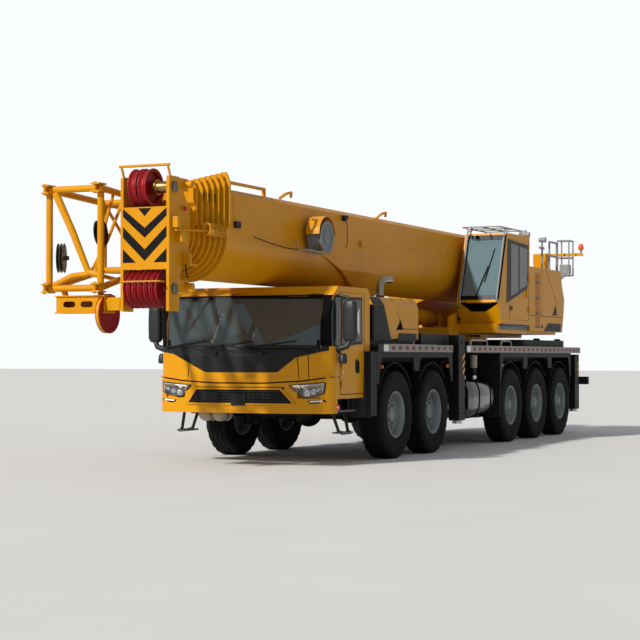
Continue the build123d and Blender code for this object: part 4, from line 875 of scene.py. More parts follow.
# ---- Air tanks under the bumper
# Two deep-drawn steel air tanks with domed ends, sprayed pale grey, strapped under the frame
# ahead of the first axle.

# tank paint: pale and dusty, so the tanks show in the shade under the bumper
tank_grey = sprayed("pale_grey_tank_paint", "#A39A86", "#CFC8B8", 0.45, dust=0.20)
AIR_TANK_Y, AIR_TANK_Z, ORIGIN = (-0.76, -0.53), 0.71, Vector((0, 0, 0))
AIR_TANK = [(0.0, 0.0), (0.055, 0.010), (0.086, 0.035), (0.104, 0.080), (0.106, 0.32), (0.07, 0.35), (0.0, 0.36)]
points, faces = turned(AIR_TANK, ORIGIN, 20)
air_tanks = [([(4.72 - b, y + a, AIR_TANK_Z + c) for a, b, c in points], faces) for y in AIR_TANK_Y]
bands = [rod((4.56, y, AIR_TANK_Z), (4.53, y, AIR_TANK_Z), 0.109, 24) for y in AIR_TANK_Y]
hangers = [rod((4.545, y, 0.80), (4.545, y, 1.02), 0.02) for y in AIR_TANK_Y]
piece("air_tanks", [(tank_grey, air_tanks), (satin_black, bands + hangers)], "chassis")


# ---- Engine hood, air intake and exhaust
# Folded steel panels on hinges, sprayed machine yellow with a black sill; the front of the hood
# is a ribbed black intake moulding, and a polished stainless pipe with a long tail stands on it.
HOOD = ("engine_hood",)
low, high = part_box("engine_hood")
INTAKE = [(high.x - 0.005, 2.338), (2.82, 2.338), (2.52, 1.800), (high.x - 0.005, 1.800)]
INTAKE_BEVEL = [(high.x - 0.005, 2.344), (2.82, 2.344), (2.88, 2.452), (high.x - 0.005, 2.452)]
SILL = [(2.28, 1.800), (2.20, 1.920), (low.x + 0.08, 1.920), (low.x + 0.08, 1.800)]
# the strip under the step in the hood's side, below the intake and the sill
FOOT = [(high.x - 0.005, 1.746), (high.x - 0.005, 1.815), (low.x + 0.08, 1.815), (low.x + 0.08, 1.746)]
HOOD_SEAMS = [[(2.40, high.z - 0.01), (2.09, 1.985)], [(2.09, 1.985), (low.x + 0.01, 1.99)]]
HOOD_TRIANGLE = [(2.13, 2.13), (2.31, 1.965), (2.03, 1.975)]
INTAKE_RIBS, INTAKE_PITCH = 11, 0.046
hood_trim, intake, ribs = [], [], []
for facing in ("+y", "-y"):
    hood_trim += [laid_on(facing, HOOD, strips(line, 0.010), 0.0015) for line in HOOD_SEAMS]
    hood_trim.append(laid_on(facing, HOOD, [HOOD_TRIANGLE], 0.003))
    intake += [laid_on(facing, HOOD, [outline], 0.006, at_height=1.95) for outline in (INTAKE, SILL)]
    intake += [laid_on(facing, HOOD, [outline], 0.006) for outline in (INTAKE_BEVEL, FOOT)]
    for rib in range(INTAKE_RIBS):
        z = 1.83 + rib * INTAKE_PITCH
        back = 2.56 + (z - 1.79) * 0.55
        ribs.append(laid_on(facing, HOOD, [rectangle(back, z, high.x - 0.02, z + 0.022)], 0.020))
intake.append(laid_on("+x", HOOD, [rectangle(-1.346, 1.824, 1.346, 2.335)], 0.006))
intake.append(laid_on("+z", HOOD, [rectangle(2.90, -1.27, high.x - 0.01, 1.27)], 0.005))
hood_trim += [laid_on("+z", HOOD, strips([(x, -1.25), (x, 1.25)], 0.009), 0.0015) for x in (1.85, 2.40)]
piece(
    "hood_trim", [(joint_rubber, hood_trim), (black_plastic, intake + ribs)], "chassis",
    rounding=0.001,
)
# stainless tube: warm and smeared, with a long stretched highlight
stainless = chromed("polished_stainless_tube", "#A69C8C", 0.22)
low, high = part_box("exhaust_stack")
PIPE_Y, PIPE_X, PIPE_RADIUS = (low.y + high.y) / 2, high.x - 0.062, 0.057
BEND_RADIUS, TAIL = 0.16, 0.30
bend_z = high.z - PIPE_RADIUS - 0.02 - BEND_RADIUS
route = [(PIPE_X, PIPE_Y, low.z - 0.05), (PIPE_X, PIPE_Y, low.z + 0.06)]
for step in range(9):
    angle = math.radians(10 * step)
    route.append((
        PIPE_X - BEND_RADIUS * (1 - math.cos(angle)), PIPE_Y, bend_z + BEND_RADIUS * math.sin(angle)
    ))
route.append((route[-1][0] - TAIL, PIPE_Y, high.z - PIPE_RADIUS - 0.005))
# painted shade: a black disc in the pipe's mouth for the shade inside it
mouth = [(route[-1][0] - 0.002, PIPE_Y, route[-1][2]), (route[-1][0] + 0.004, PIPE_Y, route[-1][2])]
clamp = rod((PIPE_X, PIPE_Y, low.z + 0.02), (PIPE_X, PIPE_Y, low.z + 0.05), 0.068, 20)
piece(
    "exhaust_pipe",
    [
        (stainless, [tube(route, PIPE_RADIUS, 24)]), (satin_black, [clamp]),
        (hole_black, [rod(mouth[0], mouth[1], PIPE_RADIUS - 0.006, 24)]),
    ],
    "chassis", stands_for=["exhaust_stack"],
)


# ---- Deck plates, the reflector strip along their edge and the handrails
# Chequered steel plate sprayed dark grey, edged with a pale grey rolled channel. Red reflectors
# are riveted along it, with white caps at the ends.
def chequer(name, base):
    """Chequered floor plate: raised lozenges 28 mm apart that catch the light one by one."""
    finish = sprayed(name, base, "#7B7D7E", 0.50, dust=0.20)
    tree = finish.node_tree
    shader = tree.nodes["Principled BSDF"]
    place = node(tree, "ShaderNodeTexCoord")
    turned_place = node(
        tree, "ShaderNodeMapping", {"Rotation": (0.0, 0.0, math.radians(45)), "Scale": (36.0, 36.0, 36.0)},
        {"Vector": place.outputs["Object"]},
    )
    cells = node(
        tree, "ShaderNodeTexBrick", {"Scale": 1.0, "Mortar Size": 0.12, "Mortar Smooth": 0.3},
        {"Vector": turned_place.outputs["Vector"]},
    )
    bump = node(
        tree, "ShaderNodeBump", {"Strength": 0.5, "Distance": 0.003, "invert": True},
        {"Height": cells.outputs["Fac"]},
    )
    tree.links.new(bump.outputs["Normal"], shader.inputs["Normal"])
    return finish


# chequered plate: the lozenges glitter where the deck is seen along its length
deck_grey = chequer("chequered_deck_plate", "#2A2C2E")
# channel paint: a pale line along the deck that draws out the machine's length
channel_grey = sprayed("pale_grey_channel_paint", "#8B8982", "#C5C3BB", 0.40, dust=0.12)
# prismatic red: deep red dashes that mark off the deck's edge in equal steps
red_reflector = sprayed("red_prismatic_reflector", "#7C0410", "#A0202A", 0.30, dust=0.03, gloss=0.2)
# cream rail paint: light thin lines against the dark deck
beige_tube = sprayed("cream_rail_paint", "#BDB49E", "#E4DECD", 0.40, dust=0.10)
dress(deck_grey, "deck_plates")
DECK = ("deck_plates",)
EDGE_LOW, EDGE_HIGH = 1.632, 1.738
EDGE_RUNS = ((3.23, 0.20), (-0.50, -7.53))
REFLECTOR_PITCH, CAP_LENGTH = 0.28, 0.18
MARKER_PLACES = (3.25, 0.41, -2.46, -3.82, -5.44, -6.82)
for side, facing, sign in SIDES:
    channels, caps, reflectors, markers = [], [], [], []
    for start, end in EDGE_RUNS:
        outline = [(start, EDGE_LOW), (start, EDGE_HIGH), (end, EDGE_HIGH), (end, EDGE_LOW)]
        channels.append(laid_on(facing, DECK, [outline], 0.006, 0.01, 1.0))
        for z in (EDGE_LOW, EDGE_HIGH):
            channels.append(laid_on(facing, DECK, strips([(start, z), (end, z)], 0.012), 0.012, 0.01, 1.0))
        x = start - 0.40
        while x > end + 0.06:
            reflectors.append(laid_on(facing, DECK, [rectangle(x - 0.055, 1.658, x + 0.055, 1.716)], 0.012))
            x -= REFLECTOR_PITCH
        cap_end = start - CAP_LENGTH
        cap = [(start, EDGE_LOW), (start, EDGE_HIGH), (cap_end, EDGE_HIGH), (cap_end, EDGE_LOW)]
        caps.append(laid_on(facing, DECK, [cap], 0.010))
    for x in MARKER_PLACES:
        base = Vector((x, sign * 1.470, 1.40))
        markers.append(rod(base, base + Vector((0, sign * 0.028, 0)), 0.032, 14, 0.026))
    piece(
        f"deck_edge_{side}",
        [(channel_grey, channels), (white_reflector, caps), (red_reflector, reflectors), (amber_lens, markers)],
        "chassis", rounding=0.003,
    )
    rails = []
    for front, rear in ((-1.26, -2.16), (-2.94, -3.54)):
        y = sign * 1.30
        rails.append(tube([
            (front, y, 1.74), (front, y, 1.79), (front - 0.03, y, 1.825), (front - 0.08, y, 1.84),
            (rear + 0.08, y, 1.84), (rear + 0.03, y, 1.825), (rear, y, 1.79), (rear, y, 1.74),
        ], 0.019, 12))
    piece(f"deck_rails_{side}", [(beige_tube, rails)], "chassis")


# ---- Side skirts, fenders and the side tanks
# Folded steel skirts hang between the wheels, sprayed matt dark grey. The tank on each side is a
# polished aluminium shell with domed ends, held down by two rubber-faced straps.

# matt skirt paint: flat and dark, so the wheels stand out ahead of it
skirt_grey = sprayed("matt_dark_grey_skirt_paint", "#17181A", "#3A3C3E", 0.55, dust=0.14, gloss=0.25)
# polished aluminium: mirrors the ground and the sky in a dark and a light band
polished_aluminium = chromed("polished_aluminium_shell", "#77787A", 0.14)
dress(skirt_grey, "side_skirts")
low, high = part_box("side_tanks")
TANK_Y, TANK_Z, TANK_HALF = 1.10, (low.z + high.z) / 2, (0.34, (high.z - low.z) / 2 - 0.004)
TANK_SECTION = rounded(40, 0.72)
TANK_STATIONS = ((0.0, 0.0), (0.0, 0.55), (0.010, 0.80), (0.030, 0.92), (0.065, 0.985), (0.10, 1.0))
tank_length = high.x - low.x
stations = list(TANK_STATIONS) + [(tank_length - reach, fill) for reach, fill in TANK_STATIONS[::-1]]


def tank_skin(sign, stations, swell=0.0):
    """A shell with a rounded section along X; a station gives its distance and how full it is."""
    half_y, half_z = TANK_HALF
    return skin([[
        (high.x - reach, sign * (TANK_Y + (half_y * fill + swell) * a), TANK_Z + (half_z * fill + swell) * b)
        for a, b in TANK_SECTION
    ] for reach, fill in stations], capped=False)


# fenders: thin polyethylene arches over the tyres, a sheet behind them and a flap behind the last
ARCH_SECTION, ARCH_STEPS = rectangle(0.785, 0.98, 0.793, 1.455), 18
for side, _, sign in SIDES:
    arches = []
    for axle in range(1, 6):
        low_corner, high_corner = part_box(f"wheel_{axle}_{side}")
        hub = (low_corner + high_corner) / 2
        reach = 28 if axle in (1, 3) else 40
        turns = [math.radians(reach + (180 - 2 * reach) * step / ARCH_STEPS) for step in range(ARCH_STEPS + 1)]
        arches.append(skin([
            [(hub.x + r * math.cos(turn), sign * y, hub.z + r * math.sin(turn)) for r, y in ARCH_SECTION]
            for turn in turns
        ]))
    backs = [box(span, (0.965, 0.980), (1.36, 1.625), sign) for span in ((-6.95, -2.30), (0.25, 3.35))]
    backs.append(box((-6.900, -6.885), (0.99, 1.46), (0.82, 1.625), sign))
    piece(f"fenders_{side}", [(moulded_black, arches + backs)], "chassis")
for side, _, sign in SIDES:
    straps = [
        tank_skin(sign, [(at, 0.9), (at, 1.0), (at + 0.055, 1.0), (at + 0.055, 0.9)], 0.006)
        for at in (0.36, 0.97)
    ]
    caps = [
        rod((x, sign * 1.22, high.z - 0.05), (x, sign * 1.22, high.z + 0.030), 0.050, 20) for x in (-1.08, -1.66)
    ]
    filter_can = rod((-1.31, sign * 1.34, 1.36), (-1.31, sign * 1.34, 1.58), 0.062, 24)
    filter_neck = rod((-1.31, sign * 1.34, 1.24), (-1.31, sign * 1.34, 1.37), 0.035, 20, 0.052)
    piece(
        f"fuel_tank_{side}",
        [
            (polished_aluminium, [tank_skin(sign, stations)]), (joint_rubber, straps), (chrome, caps),
            (tank_grey, [filter_can]), (black_plastic, [filter_neck]),
        ],
        "chassis", stands_for=["side_tanks"],
    )


# ---- Outriggers: sliding beams, jacks and their striped end boxes
# Welded box beams, each with a jack tube at its end, sprayed satin black. The rods are ground and
# chromed; each end box carries slanted yellow warning stripes and a small lamp.

# warning film: slanted yellow dashes that show against the black beams
warning_yellow = sprayed("warning_yellow_film", "#E2A012", "#F6D488", 0.40, dust=0.15)
# ground chrome: a straight bright streak down each rod
ground_chrome = chromed("ground_chrome_rod", "#B9BBBC", 0.18)
STRIPES, STRIPE_PITCH = 3, 0.12
for row in ("front", "rear"):
    for side, facing, sign in SIDES:
        name = f"outrigger_{row}_{side}"
        dress(satin_black, name)
        dress(ground_chrome, f"jack_{row}_{side}")
        low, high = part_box(name)
        top = high.z - 0.25 if row == "front" else high.z - 0.05
        edge = low.x + 0.005
        bars = []
        for step in range(STRIPES):
            z = top - 0.05 - step * STRIPE_PITCH
            bars.append([(edge, z), (edge, z - 0.055), (edge + 0.11, z - 0.135), (edge + 0.11, z - 0.08)])
        stripes = [laid_on(facing, (name,), [bar], 0.003) for bar in bars]
        lamp_at = Vector(((low.x + high.x) / 2, high.y if sign == 1 else low.y, high.z - 0.12))
        lamp = rod(lamp_at - Vector((0, sign * 0.03, 0)), lamp_at, 0.030, 14)
        bolts = []
        for x in (low.x + 0.05, high.x - 0.05):
            for z in (low.z + 0.12, high.z - 0.42):
                bolts.append(laid_on(facing, (name,), [disc_outline(x, z, 0.016, 6)], 0.010))
        piece(
            f"{name}_marks",
            [(warning_yellow, stripes), (white_reflector, [lamp]), (satin_black, bolts)],
            name,
        )


# ---- Drivers' seats, wheel and consoles behind the glass
# Foam seats covered in dark woven cloth over moulded consoles, and a soft-feel black wheel on a
# tilting column. They are seen only as dark shapes through tinted glass.

# woven cloth: dark and without any shine, so the seats are shapes behind the glass
seat_cloth = sprayed("dark_woven_seat_cloth", "#141518", "#26282E", 0.85, dust=0.05, drift=0.15, gloss=0.1)
dress(seat_cloth, "cab_interior", "operator_interior")
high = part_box("cab_interior")[1]
wheel_centre = Vector((high.x - 0.16, 0.72, high.z - 0.10))
WHEEL_RADIUS, WHEEL_CORNERS = 0.22, 32
wheel_lean = Vector((math.cos(math.radians(62)), 0, math.sin(math.radians(62))))
across, third = Vector((0, 1, 0)), wheel_lean.cross(Vector((0, 1, 0)))
turns = [2 * math.pi * k / WHEEL_CORNERS for k in range(WHEEL_CORNERS + 1)]
ring = [wheel_centre + WHEEL_RADIUS * (math.cos(turn) * across + math.sin(turn) * third) for turn in turns]
spokes = [rod(wheel_centre, ring[k], 0.014) for k in (0, 11, 21)]
column = rod(wheel_centre - 0.02 * wheel_lean, wheel_centre - 0.30 * wheel_lean + Vector((0.03, 0, 0)), 0.04)
piece("steering_wheel", [(black_plastic, [tube(ring, 0.015, 10), column] + spokes)], "chassis")


# ---- Turntable, its slewing bearing and the hoist winch
# A welded box frame on a bearing ring held by a circle of tensioned bolts. The hoist drum is cast
# and carries wire rope laid in even coils between two flanges.
dress(machine_yellow, "turntable")
dress(step_grey, "engine_block")
BEARING_BOLTS, BOLT_CIRCLE, SLEW_AXIS_X = 48, 0.86, -2.9
BOLT_FOOT, BOLT_TOP = 1.915, 1.955
bolts = []
for turn in range(BEARING_BOLTS):
    angle = 2 * math.pi * turn / BEARING_BOLTS
    x, y = SLEW_AXIS_X + BOLT_CIRCLE * math.cos(angle), BOLT_CIRCLE * math.sin(angle)
    bolts.append(rod((x, y, BOLT_FOOT), (x, y, BOLT_TOP), 0.017, 6))
piece("bearing_bolts", [(satin_black, bolts)], "superstructure")
# greased wire: dull grey-brown metal with soft glints along the coils
steel_wire = chromed("greased_steel_wire", "#6E6A62", 0.45)
# drum paint: mid grey, so the rope's coils stand out between the flanges
cast_grey = sprayed("cast_drum_paint", "#3A3C3E", "#77797B", 0.50, dust=0.20)
low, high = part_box("winch_drum")
drum_centre, drum_radius = (low + high) / 2, (high.z - low.z) / 2
half = (high.y - low.y) / 2
ROPE_PITCH, FLANGE = 0.022, 0.03
profile = [(0.04, -half), (drum_radius, -half), (drum_radius, -half + 0.025), (0.205, -half + FLANGE)]
coils = int(2 * (half - FLANGE) / ROPE_PITCH)
for coil in range(coils):
    y = -half + FLANGE + (coil + 0.5) * 2 * (half - FLANGE) / coils
    profile += [(0.198, y - ROPE_PITCH * 0.45), (0.207, y - ROPE_PITCH * 0.2), (0.207, y + ROPE_PITCH * 0.2)]
profile += [(0.198, half - FLANGE), (drum_radius, half - 0.025), (drum_radius, half), (0.04, half)]
flanges = [(0.03, -half), (drum_radius, -half), (drum_radius, -half + 0.022), (0.03, -half + 0.024)]
piece(
    "hoist_drum",
    [
        (steel_wire, [turned(profile[3:-3], drum_centre, 40)]),
        (cast_grey, [turned(flanges, drum_centre, 48), turned([(r, -y) for r, y in flanges], drum_centre, 48)]),
    ],
    "winch_drum", stands_for=["winch_drum"],
)


# ---- Operator's cab: window rubbers, wiper, guard tubes, lamps and rails
# A steel tube frame clad in sheet, with a tall bonded windscreen that carries on down to the
# floor. Round grab tubes, painted grey, guard the glass at either side.
OPERATOR = ("operator_cab", "operator_glass", "operator_door")
dress(machine_yellow, "operator_cab", "operator_door")
CAB_FRONT = ("operator_cab",)
SCREEN = rectangle(0.700, 2.58, 1.468, 3.775)
SCREEN_PANE = [(0.755, 2.655), (1.415, 2.655), (1.405, 3.71), (0.765, 3.71)]
# painted reflection: an opaque pale blue-green over the glass's own tint, standing in for the sky mirrored in the
# operator's windscreen; the brightest, coolest pane of the upper machine
screen_pane_painted_reflection = tinted_glass("screen_pane_painted_sky_reflection", "#5E767C", 0.02, 0.0)
SCREEN_FOOT = [(0.700, 2.60), (0.76, 2.50), (0.93, 2.37), (1.20, 2.37), (1.43, 2.50), (1.468, 2.60)]
front_black = [laid_on("+x", CAB_FRONT, [SCREEN_FOOT], 0.005)]
DOOR_SKIN = 2.32  # the door's sheet runs unbroken along the cab at this height
DOOR_BLACK = [(-2.995, 2.575), (-2.995, 3.70), (-4.10, 3.66), (-4.06, 2.84)]
DOOR_PANES = [
    [(-3.03, 2.66), (-3.03, 3.63), (-3.48, 3.61), (-3.48, 2.76)],
    [(-3.55, 2.79), (-3.55, 3.60), (-4.03, 3.58), (-4.00, 2.90)],
]
side_black = [
    laid_on("+y", OPERATOR, [DOOR_BLACK], 0.004, 0.004, 0.3, DOOR_SKIN),
    laid_on("+y", OPERATOR, [rectangle(-3.12, 2.40, -3.00, 2.48)], 0.012),
]
side_panes = [laid_on("+y", OPERATOR, [pane], 0.008, 0.004, 0.3, DOOR_SKIN) for pane in DOOR_PANES]
CORNER_BLACK = [(-2.78, 2.53), (-2.86, 3.71), (-2.975, 3.70), (-2.975, 2.57)]
corner_black = [laid_on("+y", OPERATOR, [CORNER_BLACK], 0.004, 0.004, 0.3, DOOR_SKIN)]
seam_rubber = [laid_on("+y", OPERATOR, strips([(x, 2.24), (x, 3.72)], 0.012), 0.002) for x in (-2.95, -4.14)]
low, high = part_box("operator_cab")
screen_foot, screen_head = [
    met_surfaces[CAB_FRONT].ray_cast(Vector((OUTSIDE, 0.71, z)), Vector((-1.0, 0.0, 0.0)))[0] for z in (2.60, 3.74)
]
screen_rake = (screen_head.x - screen_foot.x) / (screen_head.z - screen_foot.z)


def on_screen(y, z, proud):
    """A point in front of the operator's windscreen."""
    return Vector((screen_foot.x + (z - screen_foot.z) * screen_rake + proud, y, z))


def screen_plate(outline, front, back):
    """A flat plate on the screen's rake, between two distances from it."""
    return [on_screen(y, z, proud) for proud in (front, back) for y, z in outline], BOX_FACES


wiper_arm = [on_screen(1.02, 2.62, 0.02), on_screen(1.12, 2.95, 0.03), on_screen(1.20, 3.20, 0.03)]
wiper_blade = [on_screen(1.16, 2.90, 0.016), on_screen(1.28, 3.52, 0.016)]
roof_z = high.z + 0.075
guards = []
for y in (0.74, 1.44):
    at = [on_screen(y, z, 0.06) for z in (2.54, 2.62, 3.20, 3.70)]
    over = [(at[3].x - 0.03, y, 3.84), (at[3].x - 0.12, y, roof_z), (-2.90, y, roof_z)]
    guards.append(tube([at[0] - Vector((0.05, 0, 0)), at[1], at[2], at[3]] + over, 0.016, 10))
roof_rack = [rod((low.x + 0.45, y, roof_z), (high.x - 0.14, y, roof_z), 0.013, 10) for y in (0.74, 1.10, 1.44)]
roof_rack += [rod((x, 0.74, roof_z), (x, 1.44, roof_z), 0.012, 10) for x in (-3.75, -3.30, -2.90, high.x - 0.14)]
roof_rack += [rod((x, y, high.z - 0.02), (x, y, roof_z), 0.012, 10) for x in (-3.75, -2.90) for y in (0.74, 1.44)]
# rail paint: light grey lines drawn over the yellow covers
rail_grey = sprayed("grey_rail_paint", "#8A8E90", "#BCC0C2", 0.40, dust=0.08)
work_lamp = rod((high.x - 0.30, 0.85, high.z + 0.045), (high.x - 0.20, 0.85, high.z + 0.040), 0.034, 18, 0.042)
lamp_glass = rod((high.x - 0.20, 0.85, high.z + 0.040), (high.x - 0.194, 0.85, high.z + 0.040), 0.034, 18)
lamp_foot = rod((high.x - 0.25, 0.85, high.z - 0.02), (high.x - 0.25, 0.85, high.z + 0.01), 0.012)
# red lens: a small saturated dot with a glossy highlight
red_lens = sprayed("red_lens", "#B00E16", "#E24048", 0.25, dust=0.04, coat=0.5)
# green lens: the red lens's pair, just as small and glossy
green_lens = sprayed("green_lens", "#1F8A3B", "#5CC474", 0.25, dust=0.04, coat=0.5)
horn = rod((low.x + 1.55, 0.655, 2.27), (low.x + 1.75, 0.655, 2.27), 0.025, 14, 0.060)
piece(
    "operator_cab_trim",
    [
        (ceramic_black, front_black + corner_black + [screen_plate(SCREEN, 0.004, -0.006)]),
        (screen_pane_painted_reflection, [screen_plate(SCREEN_PANE, 0.009, 0.003)]),
        (black_plastic, [tube(wiper_arm, 0.010, 8), tube(wiper_blade, 0.012, 8), work_lamp, lamp_foot, horn]),
        (rail_grey, guards + roof_rack),
        (lamp_white, [lamp_glass]),
        (red_lens, [rod((-2.36, 0.70, 2.555), (-2.325, 0.70, 2.555), 0.028, 14)]),
        (green_lens, [rod((-2.36, 0.70, 2.450), (-2.325, 0.70, 2.450), 0.028, 14)]),
    ],
    "superstructure", rounding=0.002,
)
piece(
    "operator_door_trim",
    [(ceramic_black, side_black), (pillar_glass, side_panes), (joint_rubber, seam_rubber)],
    "operator_door", rounding=0.002,
)
walkway = laid_on("+y", ("turntable", "operator_cab"), [rectangle(-4.20, 2.05, -2.60, 2.15)], 0.012, 0.02, 0.3)
piece("operator_step", [(step_grey, [walkway])], "superstructure", rounding=0.003)


# ---- Engine covers of the superstructure: seams, ladder, louvres, rails and beacon
# Folded sheet panels over the upper engine, sprayed machine yellow. A recessed ladder leads to
# the roof, where grey tube rails, a camera cage and an amber beacon stand.
COVERS = ("superstructure_covers",)
dress(machine_yellow, "superstructure_covers")
dress(rail_grey, "rear_rails")
COVERS_SEAMS = [
    [(-5.29, 3.24), (-5.79, 2.83), (-6.02, 2.60)], [(-4.24, 2.34), (-6.34, 2.34)], [(-5.03, 2.34), (-5.03, 3.25)],
]
DARK_PATCH = [(-5.45, 2.21), (-6.32, 2.21), (-6.27, 2.05), (-5.11, 2.05)]
BLACK_TRIANGLE = [(-5.96, 2.58), (-5.71, 2.37), (-6.05, 2.37)]
LADDER = ((-4.90, 2.10), (-4.60, 3.17))
VENTS, VENT_PITCH = 14, 0.045
# painted shade: a deeper yellow on the ladder's recess, standing in for the shade the recess lies in
painted_shade_yellow = sprayed("ladder_well_painted_shade", "#B96C08", "#D08A3A", 0.45, dust=0.10, gloss=0.2)
seams, patches, rungs, wells = [], [], [], []
for _, facing, sign in SIDES:
    seams += [laid_on(facing, COVERS, strips(line, 0.010), 0.0015) for line in COVERS_SEAMS]
    patches += [laid_on(facing, COVERS, [outline], 0.003) for outline in (DARK_PATCH, BLACK_TRIANGLE)]
    for z in (2.12, 2.39, 2.68, 2.98):
        rungs.append(tube([
            (LADDER[0][0] + 0.02, sign * 1.430, z), (LADDER[0][0] + 0.04, sign * 1.462, z),
            (LADDER[1][0] - 0.04, sign * 1.462, z), (LADDER[1][0] - 0.02, sign * 1.430, z),
        ], 0.019, 10))
    # painted shade: the recess is a plate of darker yellow for its shade
    wells.append(laid_on(facing, COVERS, [rectangle(*LADDER[0], *LADDER[1])], 0.002))
    seams += [laid_on(facing, COVERS, [disc_outline(-5.03, 2.14, 0.035)], 0.006)]
back_vents = []
for row in range(VENTS):
    z = 2.42 + row * VENT_PITCH
    for side in (-1, 1):
        back_vents.append(laid_on("-x", COVERS, [rectangle(side * 0.35, z, side * 1.15, z + 0.018)], 0.008))
seams.append(laid_on("-x", COVERS, strips([(0.0, 2.2), (0.0, 3.1)], 0.012), 0.002))
seams.append(laid_on("+z", COVERS, strips([(-5.3, -1.35), (-5.3, 1.35)], 0.010), 0.002))
piece(
    "covers_trim",
    [
        (joint_rubber, seams), (black_plastic, patches + back_vents), (painted_shade_yellow, wells), (step_grey, rungs),
    ],
    "superstructure",
)
cage = []
CAGE_X, CAGE_Y, CAGE_Z = (-7.24, -6.94), (1.20, 1.44), (3.22, 3.58, 3.93)
for x in CAGE_X:
    for y in CAGE_Y:
        cage.append(rod((x, y, CAGE_Z[0]), (x, y, CAGE_Z[2]), 0.016, 10))
for z in CAGE_Z:
    for x in CAGE_X:
        cage.append(rod((x, CAGE_Y[0], z), (x, CAGE_Y[1], z), 0.014, 10))
    for y in CAGE_Y:
        cage.append(rod((CAGE_X[0], y, z), (CAGE_X[1], y, z), 0.014, 10))
for y in (1.14, 1.36):
    cage.append(tube([(-6.36, y, 3.00), (-6.60, y, 3.12), (CAGE_X[1], y, CAGE_Z[0])], 0.022, 10))
beacon_post = rod((-7.20, 1.62, 3.66), (-7.20, 1.62, 3.74), 0.022, 14)
beacon = turned([(0.0, 0.0), (0.050, 0.0), (0.055, 0.02), (0.052, 0.09), (0.035, 0.125), (0.0, 0.135)], ORIGIN, 20)
beacon = ([(-7.20 + a, 1.62 + c, 3.74 + b) for a, b, c in beacon[0]], beacon[1])
yellow_beam = rod((-7.20, 0.92, 3.65), (-7.20, 1.66, 3.65), 0.042, 4)
beam_carrier = tube([(-6.30, 0.95, 3.10), (-6.50, 0.95, 3.45), (-6.90, 0.95, 3.63), (-7.20, 0.95, 3.65)], 0.045, 12)
junction_box = box((-7.20, -6.98), (1.23, 1.41), (3.25, 3.44))
# three posts above the covers, for two winch cameras and a wind gauge
posts = []
for x, y, top in ((-4.62, 1.25, 3.90), (-5.05, 1.05, 3.97), (-5.60, 1.28, 3.86)):
    posts += [
        rod((x, y, 3.24), (x, y, top), 0.020, 12),
        rod((x, y - 0.06, top), (x, y + 0.08, top), 0.045, 16, 0.052),
        rod((x, y, 3.26), (x, y, 3.30), 0.060, 16),
        rod((x - 0.10, y, top - 0.16), (x + 0.14, y, top - 0.16), 0.026, 12),
    ]
valve_box = box((-6.10, -5.84), (1.02, 1.28), (3.26, 3.60))
piece(
    "rear_camera_cage",
    [
        (rail_grey, cage + posts + [beacon_post, junction_box]),
        (machine_yellow, [yellow_beam, beam_carrier, valve_box]), (amber_lens, [beacon]),
    ],
    "superstructure", rounding=0.003,
)


# ---- Main boom: base section and six telescopes
# Each section is bent from high-tensile plate and seamed along its sides, with a welded collar
# at its mouth. The base carries rest arms, a work lamp and the feeds of the load sensor.

# boom enamel: a shade deeper than the cabs', with a broad highlight along the bends
boom_yellow = sprayed(
    "boom_yellow_enamel", "#CD8B05", "#DDAA50", 0.36, dust=0.04, drift=0.06, coat=0.06, gloss=0.18,
)
dress(boom_yellow, "boom_base", "lift_bracket", "lattice_jib", "boom_section_7_head")
for section in range(2, 7):
    dress(boom_yellow, f"boom_section_{section}")
BASE = ("boom_base",)
STIFFENER = [(-1.30, 3.62), (-1.55, 3.58), (-1.85, 3.30), (-1.80, 2.95), (-1.50, 2.78)]
welds = []
for facing in ("+y", "-y"):
    welds.append(laid_on(facing, BASE, strips(STIFFENER, 0.016), 0.006, 0.004, 0.1))
    welds.append(laid_on(facing, BASE, strips([(-5.45, 3.40), (6.40, 3.40)], 0.014), 0.005, 0.004, 0.5))
    welds.append(laid_on(facing, BASE, strips([(6.30, 2.72), (6.30, 3.80)], 0.016), 0.005, 0.004))
rest_arms = [
    tube([(4.78, 0.52, 3.83), (4.70, 0.58, 3.90), (4.56, 0.60, 3.93), (4.46, 0.55, 3.88)], 0.022, 10),
    tube([(1.14, 0.52, 3.81), (1.06, 0.58, 3.89), (0.92, 0.60, 3.92), (0.82, 0.55, 3.87)], 0.022, 10),
]
top_bar = rod((5.17, 0.47, 3.925), (6.53, 0.47, 3.925), 0.024, 12)
top_feet = [rod((x, 0.47, 3.80), (x, 0.47, 3.93), 0.030) for x in (5.19, 6.36)]
lamp_pole = tube([(2.58, 0.605, 3.24), (2.58, 0.628, 3.30), (2.58, 0.628, 3.60), (2.58, 0.60, 3.70)], 0.007, 8)
boom_lamp = rod((2.54, 0.60, 3.72), (2.64, 0.60, 3.70), 0.038, 16, 0.048)
sensor_boxes = [
    laid_on("+y", BASE, [rectangle(x_low, 3.30, x_high, 3.39)], 0.040) for x_low, x_high in ((6.15, 6.30), (1.80, 1.93))
]
SENSOR_CABLE = ((5.80, 0.625, 3.205), (5.35, 0.640, 3.150), (4.85, 0.655, 3.110), (4.44, 0.680, 3.105))
piece(
    "boom_base_fittings",
    [
        (boom_yellow, welds + rest_arms + [top_bar] + top_feet), (machine_yellow, [sensor_boxes[1]]),
        (black_plastic, [lamp_pole, boom_lamp, sensor_boxes[0], tube(SENSOR_CABLE, 0.008, 8)]),
    ],
    "boom_base", rounding=0.002,
)
